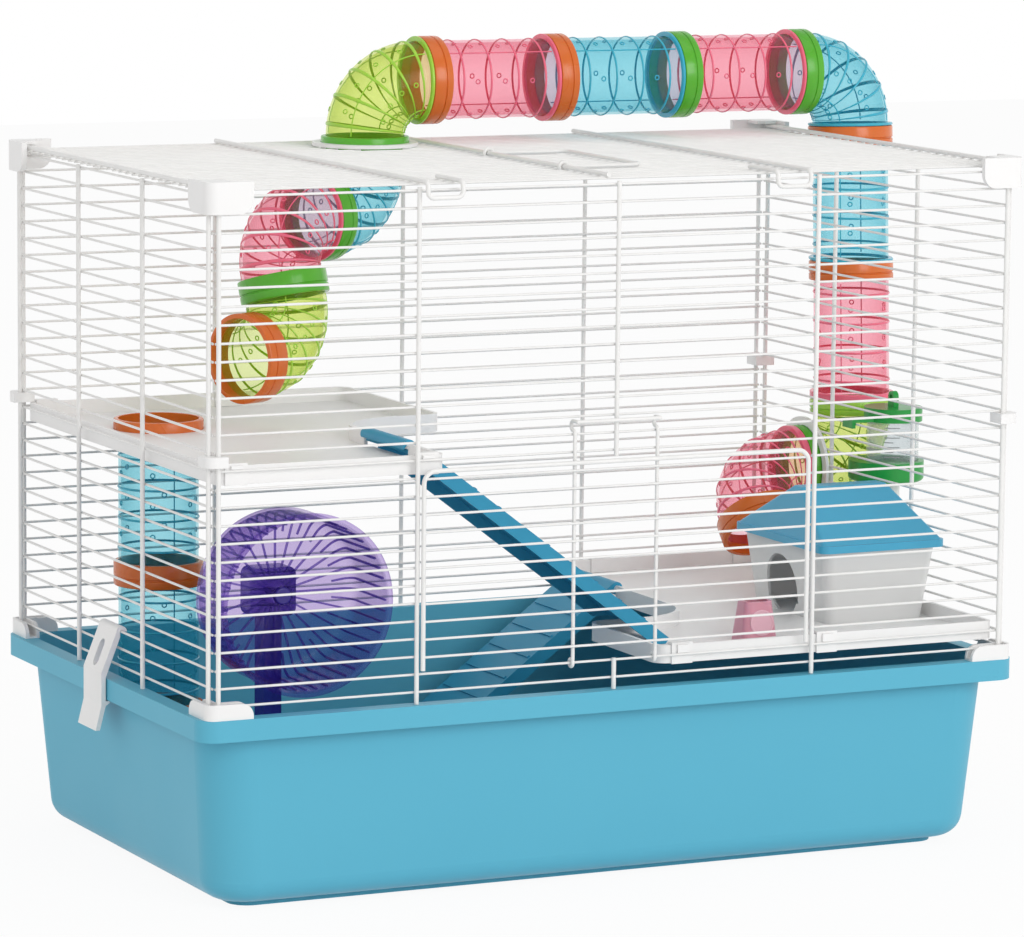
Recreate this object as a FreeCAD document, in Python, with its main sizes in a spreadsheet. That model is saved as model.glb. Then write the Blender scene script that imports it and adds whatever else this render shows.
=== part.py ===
"""Rodent cage with a tube run: a parametric document of named sub-parts, in millimetres, +Z up.

The origin is the middle of the tray's foot, on the surface that the cage stands on. +X runs along the
cage to its right end, and the door is on the -Y side.
"""

import FreeCAD, Part
import math
import os

import Sketcher

SIZES = {
    # Base tray: a leaning tub with an overhanging rim and a recessed foot
    "tray_length": 585.0,
    "tray_width": 355.0,
    "tray_height": 127.5,
    "tray_wall": 2.5,
    "tray_corner": 30.0,
    "tray_bottom_round": 16.0,
    "wall_lean": 9.5,
    "rim_overhang": 9.0,
    "rim_depth": 13.8,
    "rim_plate": 2.5,
    "skirt_wall": 2.2,
    "rim_corner": 14.0,
    "foot_height": 4.0,
    "foot_margin": 19.0,
    # Wire walls: thin wires along the wall, thicker rods outside them
    "wire_diameter": 1.6,
    "rod_diameter": 3.0,
    "weld_gap": 0.02,
    "wire_pitch": 11.34,
    "first_wire": 7.5,
    "rod_foot_gap": 0.2,
    "rod_top_margin": 2.1,
    "long_inset": 5.0,
    "side_inset": 8.0,
    "long_end_rod_inset": 12.5,
    "side_end_rod_inset": 10.5,
    "wire_overrun": 1.3,
    "back_rod_spacing": 141.0,
    "side_rod_spacing": 113.0,
    "right_rod_shift": 10.0,
    # Front door
    "door_offset": -4.75,
    "door_width": 274.5,
    "door_lift": 3.0,
    "door_rise": 4.9,
    "door_corner": 8.0,
    "post_gap_left": 3.1,
    "post_gap_right": 6.0,
    "bearer_diameter": 2.5,
    "bearer_spacing": 59.0,
    "bearer_offset": -1.25,
    "curl_clearance": 0.25,
    "hook_turn": 3.1,
    "pull_bar_room": 1.0,
    # Wire roof and carry handle
    "roof_gap": 0.4,
    "roof_mid": -11.0,
    "roof_wire_inset": 8.07,
    "roof_overrun": 0.5,
    "roof_edge_inset": 1.5,
    "loop_middle": -7.0,
    "loop_offset": 135.5,
    "loop_width": 24.0,
    "loop_drop": 10.0,
    "loop_reach": 7.0,
    "loop_bend": 4.0,
    "loop_tail": 24.0,
    "handle_diameter": 2.5,
    "handle_reach": 57.0,
    "handle_corner": 8.0,
    "handle_lift": 0.28,
    # Moulded corners
    "corner_standoff": 5.5,
    "corner_round": 7.0,
    "corner_clearance": 0.3,
    "cap_height": 20.0,
    "cap_arm": 31.0,
    "cap_plate": 2.0,
    "cap_plate_reach": 19.0,
    "cap_end_round": 9.0,
    "clip_height": 6.7,
    "clip_arm": 14.5,
    "clip_rise": 3.3,
    "rod_hole_clearance": 0.1,
    "base_standoff": 4.5,
    "base_corner_height": 10.0,
    "base_corner_arm": 31.0,
    "base_corner_floor": 1.2,
    "base_corner_plate": 2.0,
    "base_corner_round": 8.0,
    # Side latches
    "latch_width": 32.0,
    "latch_offset": 2.0,
    "latch_thickness": 3.0,
    "latch_hook_wall": 2.5,
    "latch_clearance": 0.3,
    "latch_rim_gap": 0.8,
    "latch_nib": 2.0,
    "latch_nib_height": 3.0,
    "latch_nib_clearance": 0.8,
    "latch_tab_drop": 16.0,
    "latch_tab_flare": 4.0,
    "latch_slot_width": 8.0,
    "latch_slot_height": 17.0,
    # Platforms
    "platform_gap": 2.4,
    "platform_plate": 2.5,
    "platform_rim": 9.5,
    "platform_rim_wall": 2.5,
    "platform_corner": 5.0,
    "tongue_corner": 10.0,
    "platform_bend": 40.0,
    "upper_seat": 2.2,
    "lower_seat": 5.2,
    "upper_main": 155.0,
    "upper_tongue": 79.0,
    "upper_tongue_start": 8.0,
    "lower_main": 169.0,
    "lower_tongue": 82.0,
    "lower_tongue_end": -65.0,
    "clip_wall": 1.4,
    "clip_slack": 0.2,
    "clip_width": 15.0,
    "clip_depth": 14.0,
    "clip_lip_width": 8.0,
    # Ramps
    "ramp_width": 67.0,
    "ramp_slope": 37.0,
    "ramp_deck": 2.5,
    "ramp_skirt": 9.7,
    "ramp_skirt_wall": 2.5,
    "ramp_start": 12.0,
    "upper_ramp_y": -82.0,
    "lower_ramp_y": 90.0,
    "ramp_rib_pitch": 22.0,
    "ramp_rib": 2.0,
    "ramp_foot_gap": 0.3,
    "ramp_play": 1.0,
    "pin_diameter": 4.0,
    "pin_clearance": 0.05,
    "pin_hook_wall": 2.4,
    # Exercise wheel
    "wheel_x": -201.0,
    "wheel_front": -129.0,
    "wheel_height": 187.5,
    "wheel_diameter": 118.0,
    "wheel_depth": 56.0,
    "wheel_wall": 1.8,
    "wheel_round": 10.0,
    "wheel_lip": 2.2,
    "wheel_rib": 1.2,
    "wheel_rib_rise": 1.2,
    "hub_diameter": 16.0,
    "hub_tip_diameter": 15.0,
    "hub_length": 13.0,
    "rung_start": 40.0,
    "hub_cap_diameter": 11.5,
    "hub_cap_depth": 4.0,
    "axle_diameter": 5.0,
    "axle_clearance": 0.06,
    "wheel_gap": 0.5,
    "stand_block": 32.0,
    "stand_block_depth": 16.0,
    "stand_post": 12.0,
    "stand_base_length": 84.0,
    "stand_base_width": 70.0,
    "stand_base_plate": 4.0,
    # House
    "house_x": 232.5,
    "house_y": -39.0,
    "house_length": 86.0,
    "house_depth": 118.0,
    "house_height": 50.0,
    "house_lean": 6.0,
    "house_wall": 2.0,
    "house_corner": 7.0,
    "house_door_width": 42.0,
    "house_door_height": 40.0,
    "house_door_sill": 8.0,
    "house_door_offset": 8.0,
    "eave_overhang": 4.8,
    "eave_height": 5.0,
    "house_roof_height": 32.0,
    "house_ridge_length": 66.0,
    "house_ridge_width": 12.0,
    "house_roof_lip": 5.0,
    "house_roof_slack": 0.4,
    # Feeding dish
    "dish_x": 120.5,
    "dish_y": -127.0,
    "dish_length": 26.0,
    "dish_width": 24.0,
    "dish_height": 27.5,
    "dish_lean": 3.0,
    "dish_wall": 2.0,
    "dish_corner": 6.0,
    # Water bottle
    "bottle_standoff": 30.5,
    "bottle_y": 34.0,
    "bottle_diameter": 36.5,
    "bottle_wall": 1.5,
    "bottle_show": 27.6,
    "bottle_seat": 3.0,
    "bottle_slack": 0.2,
    "cap_diameter": 53.0,
    "cap_depth": 14.2,
    "cap_shift": 5.0,
    "holder_diameter": 41.0,
    "holder_depth": 9.5,
    "holder_plate": 2.0,
    "holder_tab_width": 8.0,
    "holder_tab_height": 11.0,
    "holder_tab_thickness": 4.0,
    "holder_hole": 3.5,
    "holder_arm_width": 14.0,
    "holder_arm_height": 2.6,
    "holder_lip_drop": 6.5,
    "boss_diameter": 11.0,
    "boss_drop": 10.0,
    "spout_diameter": 7.0,
    "spout_bore": 5.6,
    "spout_reach": 22.2,
    "spout_lip": 0.6,
    "ball_diameter": 5.0,
    "ball_show": 1.2,
    # Tubes: straight pieces and elbows joined by coupling rings
    "tube_diameter": 53.4,
    "tube_bore": 49.8,
    "tube_pitch": 95.3,
    "elbow_radius": 36.0,
    "elbow_end": 8.65,
    "tube_gap": 0.4,
    "ring_diameter": 60.0,
    "ring_length": 16.0,
    "collar_length": 2.0,
    "wide_collar": 5.0,
    "ring_slack": 0.2,
    "run_x": -55.6,
    "run_y": 113.0,
    "run_height": 44.32,
    "plate_diameter": 72.0,
    "plate_thickness": 2.4,
    "plate_slack": 0.3,
    "hole_margin": 1.2,
    "drop_lean": 2.8,
    "landing_turn": 42.0,
    "hanging_heading": 22.0,
    "hanging_tilt": 15.0,
    "column_x": -220.0,
    "column_y": 78.0,
    "column_drop": 1.2,
}

# Rows are counted from the tray upwards on the walls and from the door side backwards on the roof
WALL_ROWS = 29
ROOF_ROWS = 30
HINGE_ROW = 1
DOOR_FIRST_ROW = 2
DOOR_LAST_ROW = 12
HOOK_ROW = 14
LATCH_ROW = 2
CLIP_ROW = 14
UPPER_SEAT_ROW = 13
LOWER_SEAT_ROW = 1
HOLDER_ROW = 11
SPOUT_ROW = 6
HANDLE_NEAR_ROW = 5
HANDLE_FAR_ROW = 15
RAMP_RIBS = 9
WHEEL_RIBS = 24

# How far round its bar, in degrees, a bent wire end is curled
EYE_TURN = 330
CURL_TURN = 300

AXES = {"x": (1, 0, 0), "y": (0, 1, 0), "z": (0, 0, 1)}
SIDES = (-1, 1)

doc = FreeCAD.newDocument("RodentCage")
sheet = doc.addObject("Spreadsheet::Sheet", "Sizes")


class Size:
    """A length or an angle that keeps both its number and the expression that gives it."""

    def __init__(self, number, text):
        self.number = float(number)
        self.text = text

    def __add__(self, other):
        other = as_size(other)
        return Size(self.number + other.number, f"({self.text} + {other.text})")

    def __radd__(self, other):
        return as_size(other) + self

    def __sub__(self, other):
        other = as_size(other)
        return Size(self.number - other.number, f"({self.text} - {other.text})")

    def __rsub__(self, other):
        return as_size(other) - self

    def __mul__(self, factor):
        factor = as_size(factor)
        return Size(self.number * factor.number, f"({self.text} * {factor.text})")

    __rmul__ = __mul__

    def __truediv__(self, factor):
        factor = as_size(factor)
        return Size(self.number / factor.number, f"({self.text} / {factor.text})")

    def __neg__(self):
        return Size(-self.number, f"(0 - {self.text})")

    def cos(self):
        """The cosine of an angle in degrees."""
        return Size(math.cos(math.radians(self.number)), f"cos({self.text})")

    def sin(self):
        """The sine of an angle in degrees."""
        return Size(math.sin(math.radians(self.number)), f"sin({self.text})")


def as_size(value):
    """Give a plain number the same form as a size from the sheet."""
    if isinstance(value, Size):
        return value
    return Size(value, f"({float(value):.9f})")


def fill_sheet():
    """Write the driving sizes into the sheet, each in a cell with its own alias."""
    for row, (alias, number) in enumerate(SIZES.items(), start=1):
        sheet.set(f"A{row}", alias)
        sheet.set(f"B{row}", str(number))
        sheet.setAlias(f"B{row}", alias)
    doc.recompute()
    return {alias: Size(sheet.get(alias), f"Sizes.{alias}") for alias in SIZES}


S = fill_sheet()


def tie(item, **sizes):
    """Bind properties of an item to the sheet."""
    for prop, size in sizes.items():
        item.setExpression(prop, as_size(size).text)


def place(item, point, rotation=None):
    """Turn an item and bind its position to the sheet."""
    if rotation is not None:
        item.Placement = FreeCAD.Placement(FreeCAD.Vector(0, 0, 0), rotation)
    for letter, size in zip("xyz", point):
        item.setExpression(f"Placement.Base.{letter}", as_size(size).text)
    return item


def frame_of(first, second):
    """The rotation that turns +X to the first direction and +Y to the second."""
    along = FreeCAD.Vector(*first)
    across = FreeCAD.Vector(*second)
    return FreeCAD.Rotation(along, across, along.cross(across), "XYZ")


def block(xs, ys, zs, name="block"):
    """A box between two corners, given as a pair of limits on each axis."""
    spans = [sorted((as_size(a), as_size(b)), key=lambda size: size.number) for a, b in (xs, ys, zs)]
    item = doc.addObject("Part::Box", name)
    tie(item, **{prop: high - low for prop, (low, high) in zip(("Length", "Width", "Height"), spans)})
    return place(item, [low for low, _ in spans])


def rod(axis, start, end, centre, radius, name="rod"):
    """A round bar along an axis from start to end; centre gives the other two coordinates in order."""
    low, high = sorted((as_size(start), as_size(end)), key=lambda size: size.number)
    point = list(centre)
    point.insert("xyz".index(axis), low)
    item = doc.addObject("Part::Cylinder", name)
    tie(item, Radius=radius, Height=high - low)
    turn = FreeCAD.Rotation(FreeCAD.Vector(0, 0, 1), FreeCAD.Vector(*AXES[axis]))
    return place(item, point, turn)


def knuckle(point, radius):
    """A ball that rounds off the corner where two bars meet."""
    item = doc.addObject("Part::Sphere", "knuckle")
    tie(item, Radius=radius)
    return place(item, point)


def bend(centre, first, second, bend_radius, radius, turn=90):
    """A bent bar about a centre, from the first direction towards the second."""
    item = doc.addObject("Part::Torus", "bend")
    item.Angle3 = turn
    tie(item, Radius1=bend_radius, Radius2=radius)
    return place(item, centre, frame_of(first, second))


def fuse(label, items):
    """Join items into one solid."""
    item = doc.addObject("Part::MultiFuse", label)
    item.Shapes = items
    item.Refine = True
    return item


def cut(label, base, tools):
    """Take tools away from a base."""
    item = doc.addObject("Part::Cut", label)
    item.Base = base
    item.Tool = tools[0] if len(tools) == 1 else group("tools", tools)
    item.Refine = True
    return item


def common(label, first, second):
    """Keep what two items share."""
    item = doc.addObject("Part::Common", label)
    item.Base = first
    item.Tool = second
    item.Refine = True
    return item


def group(label, items):
    """Keep items together as separate solids."""
    item = doc.addObject("Part::Compound", label)
    item.Links = items
    return item


def round_edges(label, base, radius, chosen):
    """Fillet the edges of a base that a test picks."""
    doc.recompute()
    item = doc.addObject("Part::Fillet", label)
    item.Base = base
    picked = [n for n, edge in enumerate(base.Shape.Edges, start=1) if chosen(edge)]
    item.Edges = [(n, as_size(radius).number, as_size(radius).number) for n in picked]
    return item


def upright(edge):
    """Tell whether an edge runs mostly upwards."""
    run = edge.Vertexes[-1].Point - edge.Vertexes[0].Point
    return abs(run.z) > 0.7 * edge.Length


def level_at(height):
    """A test for edges that lie flat at a height."""
    target = as_size(height).number
    return lambda edge: all(abs(v.Point.z - target) < 0.01 for v in edge.Vertexes)


def frustum(label, half_bottom, half_top, bottom, top, middle=(0, 0)):
    """A straight-sided block whose plan changes from bottom to top."""
    item = doc.addObject("Part::Wedge", label)
    low_x, low_y = half_bottom
    high_x, high_y = half_top
    tie(item, Xmin=-low_x, Xmax=low_x, Zmin=-low_y, Zmax=low_y, X2min=-high_x, X2max=high_x,
        Z2min=-high_y, Z2max=high_y, Ymin=as_size(0), Ymax=top - bottom)
    return place(item, (*middle, bottom), FreeCAD.Rotation(FreeCAD.Vector(1, 0, 0), 90))


def rounded_plate(label, half, bottom, top, corner, middle=(0, 0)):
    """A flat block with round upright corners, made of two crossing blocks and four round bars."""
    half_x, half_y = half
    mid_x, mid_y = middle
    heights = (bottom, top)
    wide_x = (mid_x - half_x, mid_x + half_x)
    wide_y = (mid_y - half_y, mid_y + half_y)
    slim_x = (wide_x[0] + corner, wide_x[1] - corner)
    slim_y = (wide_y[0] + corner, wide_y[1] - corner)
    items = [block(slim_x, wide_y, heights), block(wide_x, slim_y, heights)]
    items += [rod("z", bottom, top, (x, y), corner) for x in slim_x for y in slim_y]
    return fuse(label, items)


def profile_body(label, points, start, depth):
    """A body padded along +Y from a closed outline of (x, z) points on its own XZ plane."""
    body = doc.addObject("PartDesign::Body", label)
    plane = next(f for f in body.Origin.OriginFeatures if f.Role == "XZ_Plane")
    sketch = body.newObject("Sketcher::SketchObject", f"{label}_outline")
    sketch.AttachmentSupport = [(plane, "")]
    sketch.MapMode = "FlatFace"
    corners = [FreeCAD.Vector(as_size(x).number, as_size(z).number, 0) for x, z in points]
    for n, corner in enumerate(corners):
        sketch.addGeometry(Part.LineSegment(corner, corners[(n + 1) % len(corners)]), False)
    for n, (x, z) in enumerate(points):
        sketch.addConstraint(Sketcher.Constraint("Coincident", n, 2, (n + 1) % len(points), 1))
        for kind, size in (("DistanceX", x), ("DistanceY", z)):
            index = sketch.addConstraint(Sketcher.Constraint(kind, -1, 1, n, 1, as_size(size).number))
            sketch.setExpression(f"Constraints[{index}]", as_size(size).text)
    pad = body.newObject("PartDesign::Pad", f"{label}_pad")
    pad.Profile = sketch
    pad.Reversed = True
    tie(pad, Length=depth)
    body.Tip = pad
    return place(body, (0, start, 0))


# Heights and planes that several sub-parts share
WIRE = S["wire_diameter"] / 2
ROD = S["rod_diameter"] / 2
BEARER = S["bearer_diameter"] / 2
HALF_LENGTH = S["tray_length"] / 2
HALF_WIDTH = S["tray_width"] / 2
RIM_TOP = S["tray_height"]
RIM_BOTTOM = RIM_TOP - S["rim_depth"]
WELD = WIRE + ROD + S["weld_gap"]
LONG_RODS = HALF_WIDTH - S["long_inset"]
LONG_WIRES = LONG_RODS - WELD
SIDE_RODS = HALF_LENGTH - S["side_inset"]
SIDE_WIRES = SIDE_RODS - WELD
LONG_END_ROD = HALF_LENGTH - S["long_end_rod_inset"]
SIDE_END_ROD = HALF_WIDTH - S["side_end_rod_inset"]
ROD_FOOT = RIM_TOP + S["rod_foot_gap"]


def wall_row(row):
    """The height of a wall wire."""
    return RIM_TOP + S["first_wire"] + row * S["wire_pitch"]


def roof_row(row):
    """The place of a roof wire across the cage."""
    return (2 * row / (ROOF_ROWS - 1) - 1) * (LONG_RODS - S["roof_wire_inset"])


ROD_TOP = wall_row(WALL_ROWS - 1) + S["rod_top_margin"]
ROOF_WIRES = ROD_TOP + S["roof_gap"] + WIRE
ROOF_BEARER = ROOF_WIRES + WELD
ROOF_PITCH = (LONG_RODS - S["roof_wire_inset"]) * (2 / (ROOF_ROWS - 1))
DOOR_LEFT = S["door_offset"] - S["door_width"] / 2
DOOR_RIGHT = S["door_offset"] + S["door_width"] / 2
DOOR_POSTS = (DOOR_LEFT - S["post_gap_left"], DOOR_RIGHT + S["post_gap_right"])
DOOR_BOTTOM = wall_row(HINGE_ROW) + S["door_lift"]
DOOR_TOP = wall_row(DOOR_LAST_ROW) + S["door_rise"]
MID_ROD = S["door_offset"] + S["bearer_offset"]
DOOR_CURL = WIRE + S["curl_clearance"] + BEARER
DOOR_DEPTH = DOOR_CURL + BEARER + S["weld_gap"] + ROD
FLOOR = S["tray_wall"]

# The tube run over the roof, down outside the right wall and back in through it
TUBE = S["tube_diameter"] / 2
BORE = S["tube_bore"] / 2
RING = S["ring_diameter"] / 2
HALF_RING = S["ring_length"] / 2
ELBOW_REACH = S["elbow_radius"] + S["elbow_end"]
RUN_AXIS = ROOF_WIRES + S["run_height"]
ROOF_JOINT = RUN_AXIS - ELBOW_REACH
BRIDGE_START = S["run_x"] + ELBOW_REACH
DROP_X = BRIDGE_START + 3 * S["tube_pitch"] + ELBOW_REACH
DROP_LENGTH = 2 * (S["tube_pitch"] + ELBOW_REACH)
WALL_AXIS = RUN_AXIS - DROP_LENGTH * S["drop_lean"].cos()
WALL_Y = S["run_y"] - DROP_LENGTH * S["drop_lean"].sin()
WALL_JOINT = DROP_X - ELBOW_REACH
WIRE_HOLE = RING + S["hole_margin"]

# Platforms hang on the wall wires
PLATFORM_HEIGHT = S["platform_plate"] + S["platform_rim"]
UPPER_BASE = wall_row(UPPER_SEAT_ROW) + WIRE + S["upper_seat"] - PLATFORM_HEIGHT
LOWER_BASE = wall_row(LOWER_SEAT_ROW) + WIRE + S["lower_seat"] - PLATFORM_HEIGHT
PLATFORM_END = SIDE_WIRES - WIRE - S["platform_gap"]
PLATFORM_SIDE = LONG_WIRES - WIRE - S["platform_gap"]
LOWER_FLOOR = LOWER_BASE + S["platform_plate"]


def tray_shell(label, inset, bottom, round_by):
    """The leaning tub, drawn in by an inset, with round corners and a round bottom edge."""
    top_half = (HALF_LENGTH - S["rim_overhang"] - inset, HALF_WIDTH - S["rim_overhang"] - inset)
    bottom_half = tuple(half - S["wall_lean"] for half in top_half)
    tub = frustum(f"{label}_block", bottom_half, top_half, bottom, RIM_TOP)
    corners = round_edges(f"{label}_corners", tub, S["tray_corner"] - inset, upright)
    return round_edges(label, corners, round_by, level_at(bottom))


def build_tray():
    """The moulded tray: tub, foot pad and rim with its turned-down skirt."""
    outer = tray_shell("tray_outside", as_size(0), S["foot_height"], S["tray_bottom_round"])
    inner_floor = S["foot_height"] + S["tray_wall"]
    inner_round = S["tray_bottom_round"] - S["tray_wall"]
    inner = tray_shell("tray_inside", S["tray_wall"], inner_floor, inner_round)
    lean = S["rim_overhang"] + S["wall_lean"] + S["foot_margin"]
    foot_half = (HALF_LENGTH - lean, HALF_WIDTH - lean)
    sole_half = tuple(half - S["tray_wall"] for half in foot_half)
    foot = rounded_plate("tray_foot", foot_half, as_size(0), inner_floor, S["rim_corner"])
    sole_corner = S["rim_corner"] - S["tray_wall"]
    well = rounded_plate("tray_well", sole_half, FLOOR, inner_floor + S["tray_wall"], sole_corner)
    rim_half = (HALF_LENGTH, HALF_WIDTH)
    rim = rounded_plate("tray_rim", rim_half, RIM_BOTTOM, RIM_TOP, S["rim_corner"])
    skirt_half = tuple(half - S["skirt_wall"] for half in rim_half)
    skirt_corner = S["rim_corner"] - S["skirt_wall"]
    rim_under = RIM_TOP - S["rim_plate"]
    under_rim = rounded_plate("tray_under_rim", skirt_half, RIM_BOTTOM, rim_under, skirt_corner)
    turned_rim = cut("tray_turned_rim", rim, [under_rim])
    tub = fuse("tray_body", [outer, foot, turned_rim])
    return {"base_tray": cut("base_tray", tub, [inner, well])}


def long_wall(side, posts, gap=None):
    """A long wall: wires along X and rods outside them, with an opening left for a door."""
    wires_y = side * LONG_WIRES
    rods_y = side * LONG_RODS
    end = LONG_END_ROD + S["wire_overrun"]
    items = []
    for row in range(WALL_ROWS):
        centre = (wires_y, wall_row(row))
        if gap and gap["first"] <= row <= gap["last"]:
            left, right = gap["posts"]
            items.append(rod("x", -end, left + S["wire_overrun"], centre, WIRE))
            items.append(rod("x", right - S["wire_overrun"], end, centre, WIRE))
        else:
            items.append(rod("x", -end, end, centre, WIRE))
    for post in (-LONG_END_ROD, *posts, LONG_END_ROD):
        items.append(rod("z", ROD_FOOT, ROD_TOP, (post, rods_y), ROD))
    return items


def side_wall(side, hole=None, shift=as_size(0)):
    """A short wall: wires along Y and rods outside them, with wires left short round a tube hole."""
    end = SIDE_END_ROD + S["wire_overrun"]
    wires_x = side * SIDE_WIRES
    items = []
    for row in range(WALL_ROWS):
        height = wall_row(row)
        spans = short_of_hole(-end, end, height, hole)
        items.extend(rod("y", low, high, (wires_x, height), WIRE) for low, high in spans)
    half = S["side_rod_spacing"] / 2
    for post in (-SIDE_END_ROD, shift - half, shift + half, SIDE_END_ROD):
        items.append(rod("z", ROD_FOOT, ROD_TOP, (side * SIDE_RODS, post), ROD))
    return items


def short_of_hole(start, end, level, hole):
    """The stretches of a straight wire that stay clear of a round hole at (along, level)."""
    if hole is None:
        return [(start, end)]
    middle, centre = hole
    away = level.number - centre.number
    reach = WIRE_HOLE + WIRE
    if abs(away) >= reach.number:
        return [(start, end)]
    half_chord = math.sqrt(reach.number**2 - away**2)
    return [(start, middle - half_chord), (middle + half_chord, end)]


def build_walls():
    """Four wire walls."""
    gap = {"first": DOOR_FIRST_ROW, "last": DOOR_LAST_ROW, "posts": DOOR_POSTS}
    front = long_wall(-1, DOOR_POSTS, gap)
    stub_top = wall_row(HINGE_ROW) + ROD
    stub_start = DOOR_TOP + ROD + S["pull_bar_room"]
    front.append(rod("z", ROD_FOOT, stub_top, (MID_ROD, -LONG_RODS), ROD))
    front.append(rod("z", stub_start, ROD_TOP, (MID_ROD, -LONG_RODS), ROD))
    right = side_wall(1, (WALL_Y, WALL_AXIS), S["right_rod_shift"])
    back_posts = (-S["back_rod_spacing"], as_size(0), S["back_rod_spacing"])
    return {
        "front_wire_panel": group("front_wire_panel", front),
        "back_wire_panel": group("back_wire_panel", long_wall(1, back_posts)),
        "left_wire_panel": group("left_wire_panel", side_wall(-1)),
        "right_wire_panel": group("right_wire_panel", right),
    }


def build_door():
    """The drop door: a bent frame open below, its wires, and two bearers that curl round the hinge wire."""
    curl = DOOR_CURL
    bearer_y = -LONG_WIRES - curl
    frame_y = -LONG_WIRES - DOOR_DEPTH
    wire_y = bearer_y - BEARER - S["weld_gap"] - WIRE
    corner = S["door_corner"]
    items = [rod("x", DOOR_LEFT + corner, DOOR_RIGHT - corner, (frame_y, DOOR_TOP), ROD)]
    for edge, out in ((DOOR_LEFT, -1), (DOOR_RIGHT, 1)):
        centre = (edge - out * corner, frame_y, DOOR_TOP - corner)
        items.append(bend(centre, (out, 0, 0), (0, 0, 1), corner, ROD))
        items.append(rod("z", DOOR_BOTTOM, DOOR_TOP - corner, (edge, frame_y), ROD))
    for row in range(DOOR_FIRST_ROW, DOOR_LAST_ROW + 1):
        items.append(rod("x", DOOR_LEFT, DOOR_RIGHT, (wire_y, wall_row(row)), WIRE))
    hinge = wall_row(HINGE_ROW)
    catch = wall_row(HOOK_ROW)
    over = catch + curl
    turn = S["hook_turn"]
    bar_y = -LONG_RODS - ROD - S["pull_bar_room"] - BEARER
    bar_z = over + 2 * turn
    bearers = [MID_ROD - S["bearer_spacing"] / 2, MID_ROD + S["bearer_spacing"] / 2]
    bearer_parts = []
    for x in bearers:
        bearer_parts += [
            bend((x, -LONG_WIRES, hinge), (0, -1, 0), (0, 0, -1), curl, BEARER, CURL_TURN),
            rod("z", hinge, catch, (x, bearer_y), BEARER),
            bend((x, -LONG_WIRES, catch), (0, -1, 0), (0, 0, 1), curl, BEARER),
            bend((x, -LONG_WIRES, over + turn), (0, 0, -1), (0, 1, 0), turn, BEARER, 180),
            rod("y", bar_y, -LONG_WIRES, (x, bar_z), BEARER),
            knuckle((x, bar_y, bar_z), BEARER),
        ]
    bearer_parts.append(rod("x", bearers[0], bearers[1], (bar_y, bar_z), BEARER))
    frame = fuse("door_frame", items)
    hook = fuse("door_hook", bearer_parts)
    return {"front_door": group("front_door", [frame, hook])}


def build_roof():
    """The wire roof: wires along the cage, bearers on them and loops that reach over the front wall."""
    end = SIDE_RODS + S["roof_overrun"]
    wires = []
    for row in range(ROOF_ROWS):
        y = roof_row(row)
        spans = short_of_hole(-end, end, y, (S["run_x"], S["run_y"]))
        wires.extend(rod("x", low, high, (y, ROOF_WIRES), WIRE) for low, high in spans)
    back = -roof_row(0) + ROOF_PITCH / 4
    edge = SIDE_RODS - S["roof_edge_inset"]
    for x in (-edge, S["roof_mid"], edge):
        wires.append(rod("y", -back, back, (x, ROOF_BEARER), ROD))
    front = LONG_RODS + S["loop_reach"]
    turn = S["loop_bend"]
    for side in SIDES:
        outer = S["loop_middle"] + side * S["loop_offset"]
        inner = outer - side * S["loop_width"]
        low = ROOF_BEARER - S["loop_drop"]
        pieces = [rod("x", inner + side * turn, outer - side * turn, (-front, low), ROD)]
        for x, out, tail in ((outer, side, back), (inner, -side, roof_row(0) + S["loop_tail"])):
            pieces += [
                rod("y", -front + turn, tail, (x, ROOF_BEARER), ROD),
                bend((x, -front + turn, ROOF_BEARER - turn), (0, -1, 0), (0, 0, 1), turn, ROD),
                rod("z", low + turn, ROOF_BEARER - turn, (x, -front), ROD),
                bend((x - out * turn, -front, low + turn), (out, 0, 0), (0, 0, -1), turn, ROD),
            ]
        wires.append(fuse("roof_loop", pieces))
    return {"roof_wire_panel": group("roof_wire_panel", wires)}


def build_handle():
    """The carry handle: a bail whose two eyes hang loose on the roof's middle bearer."""
    radius = S["handle_diameter"] / 2
    eye = ROD + S["handle_lift"] + radius
    legs = [roof_row(row) + ROOF_PITCH / 2 for row in (HANDLE_NEAR_ROW, HANDLE_FAR_ROW)]
    far = S["roof_mid"] + S["handle_reach"]
    corner = S["handle_corner"]
    items = [rod("y", legs[0] + corner, legs[1] - corner, (far, ROOF_BEARER), radius)]
    for y, out in zip(legs, SIDES):
        items += [
            bend((S["roof_mid"], y, ROOF_BEARER), (1, 0, 0), (0, 0, 1), eye, radius, EYE_TURN),
            rod("x", S["roof_mid"] + eye, far - corner, (y, ROOF_BEARER), radius),
            bend((far - corner, y - out * corner, ROOF_BEARER), (1, 0, 0), (0, out, 0), corner, radius),
        ]
    return {"carry_handle": fuse("carry_handle", items)}


def corner_blocks(half_x, half_y, arm, bottom, top):
    """Four blocks that cover the corners of a plan."""
    reach = S["corner_standoff"]
    blocks = []
    for sx in SIDES:
        for sy in SIDES:
            xs = (sx * (half_x - arm), sx * (half_x + reach))
            ys = (sy * (half_y - arm), sy * (half_y + reach))
            blocks.append(block(xs, ys, (bottom, top)))
    return group("corner_regions", blocks)


def ring_wall(label, half_x, half_y, wall, bottom, top, corner):
    """A wall that runs round a plan with round corners."""
    outside = rounded_plate(f"{label}_outside", (half_x, half_y), bottom, top, corner)
    inside = block((wall - half_x, half_x - wall), (wall - half_y, half_y - wall), (bottom, top))
    return cut(label, outside, [inside])


def end_edges(half_x, half_y, arm, height):
    """A test for the short edges at the ends of a corner's arms, at a height."""
    ends = ((half_x - arm).number, (half_y - arm).number)
    level = as_size(height).number

    def chosen(edge):
        middle = edge.CenterOfMass
        at_end = abs(abs(middle.x) - ends[0]) < 0.01 or abs(abs(middle.y) - ends[1]) < 0.01
        return at_end and abs(middle.z - level) < 0.01

    return chosen


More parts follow.
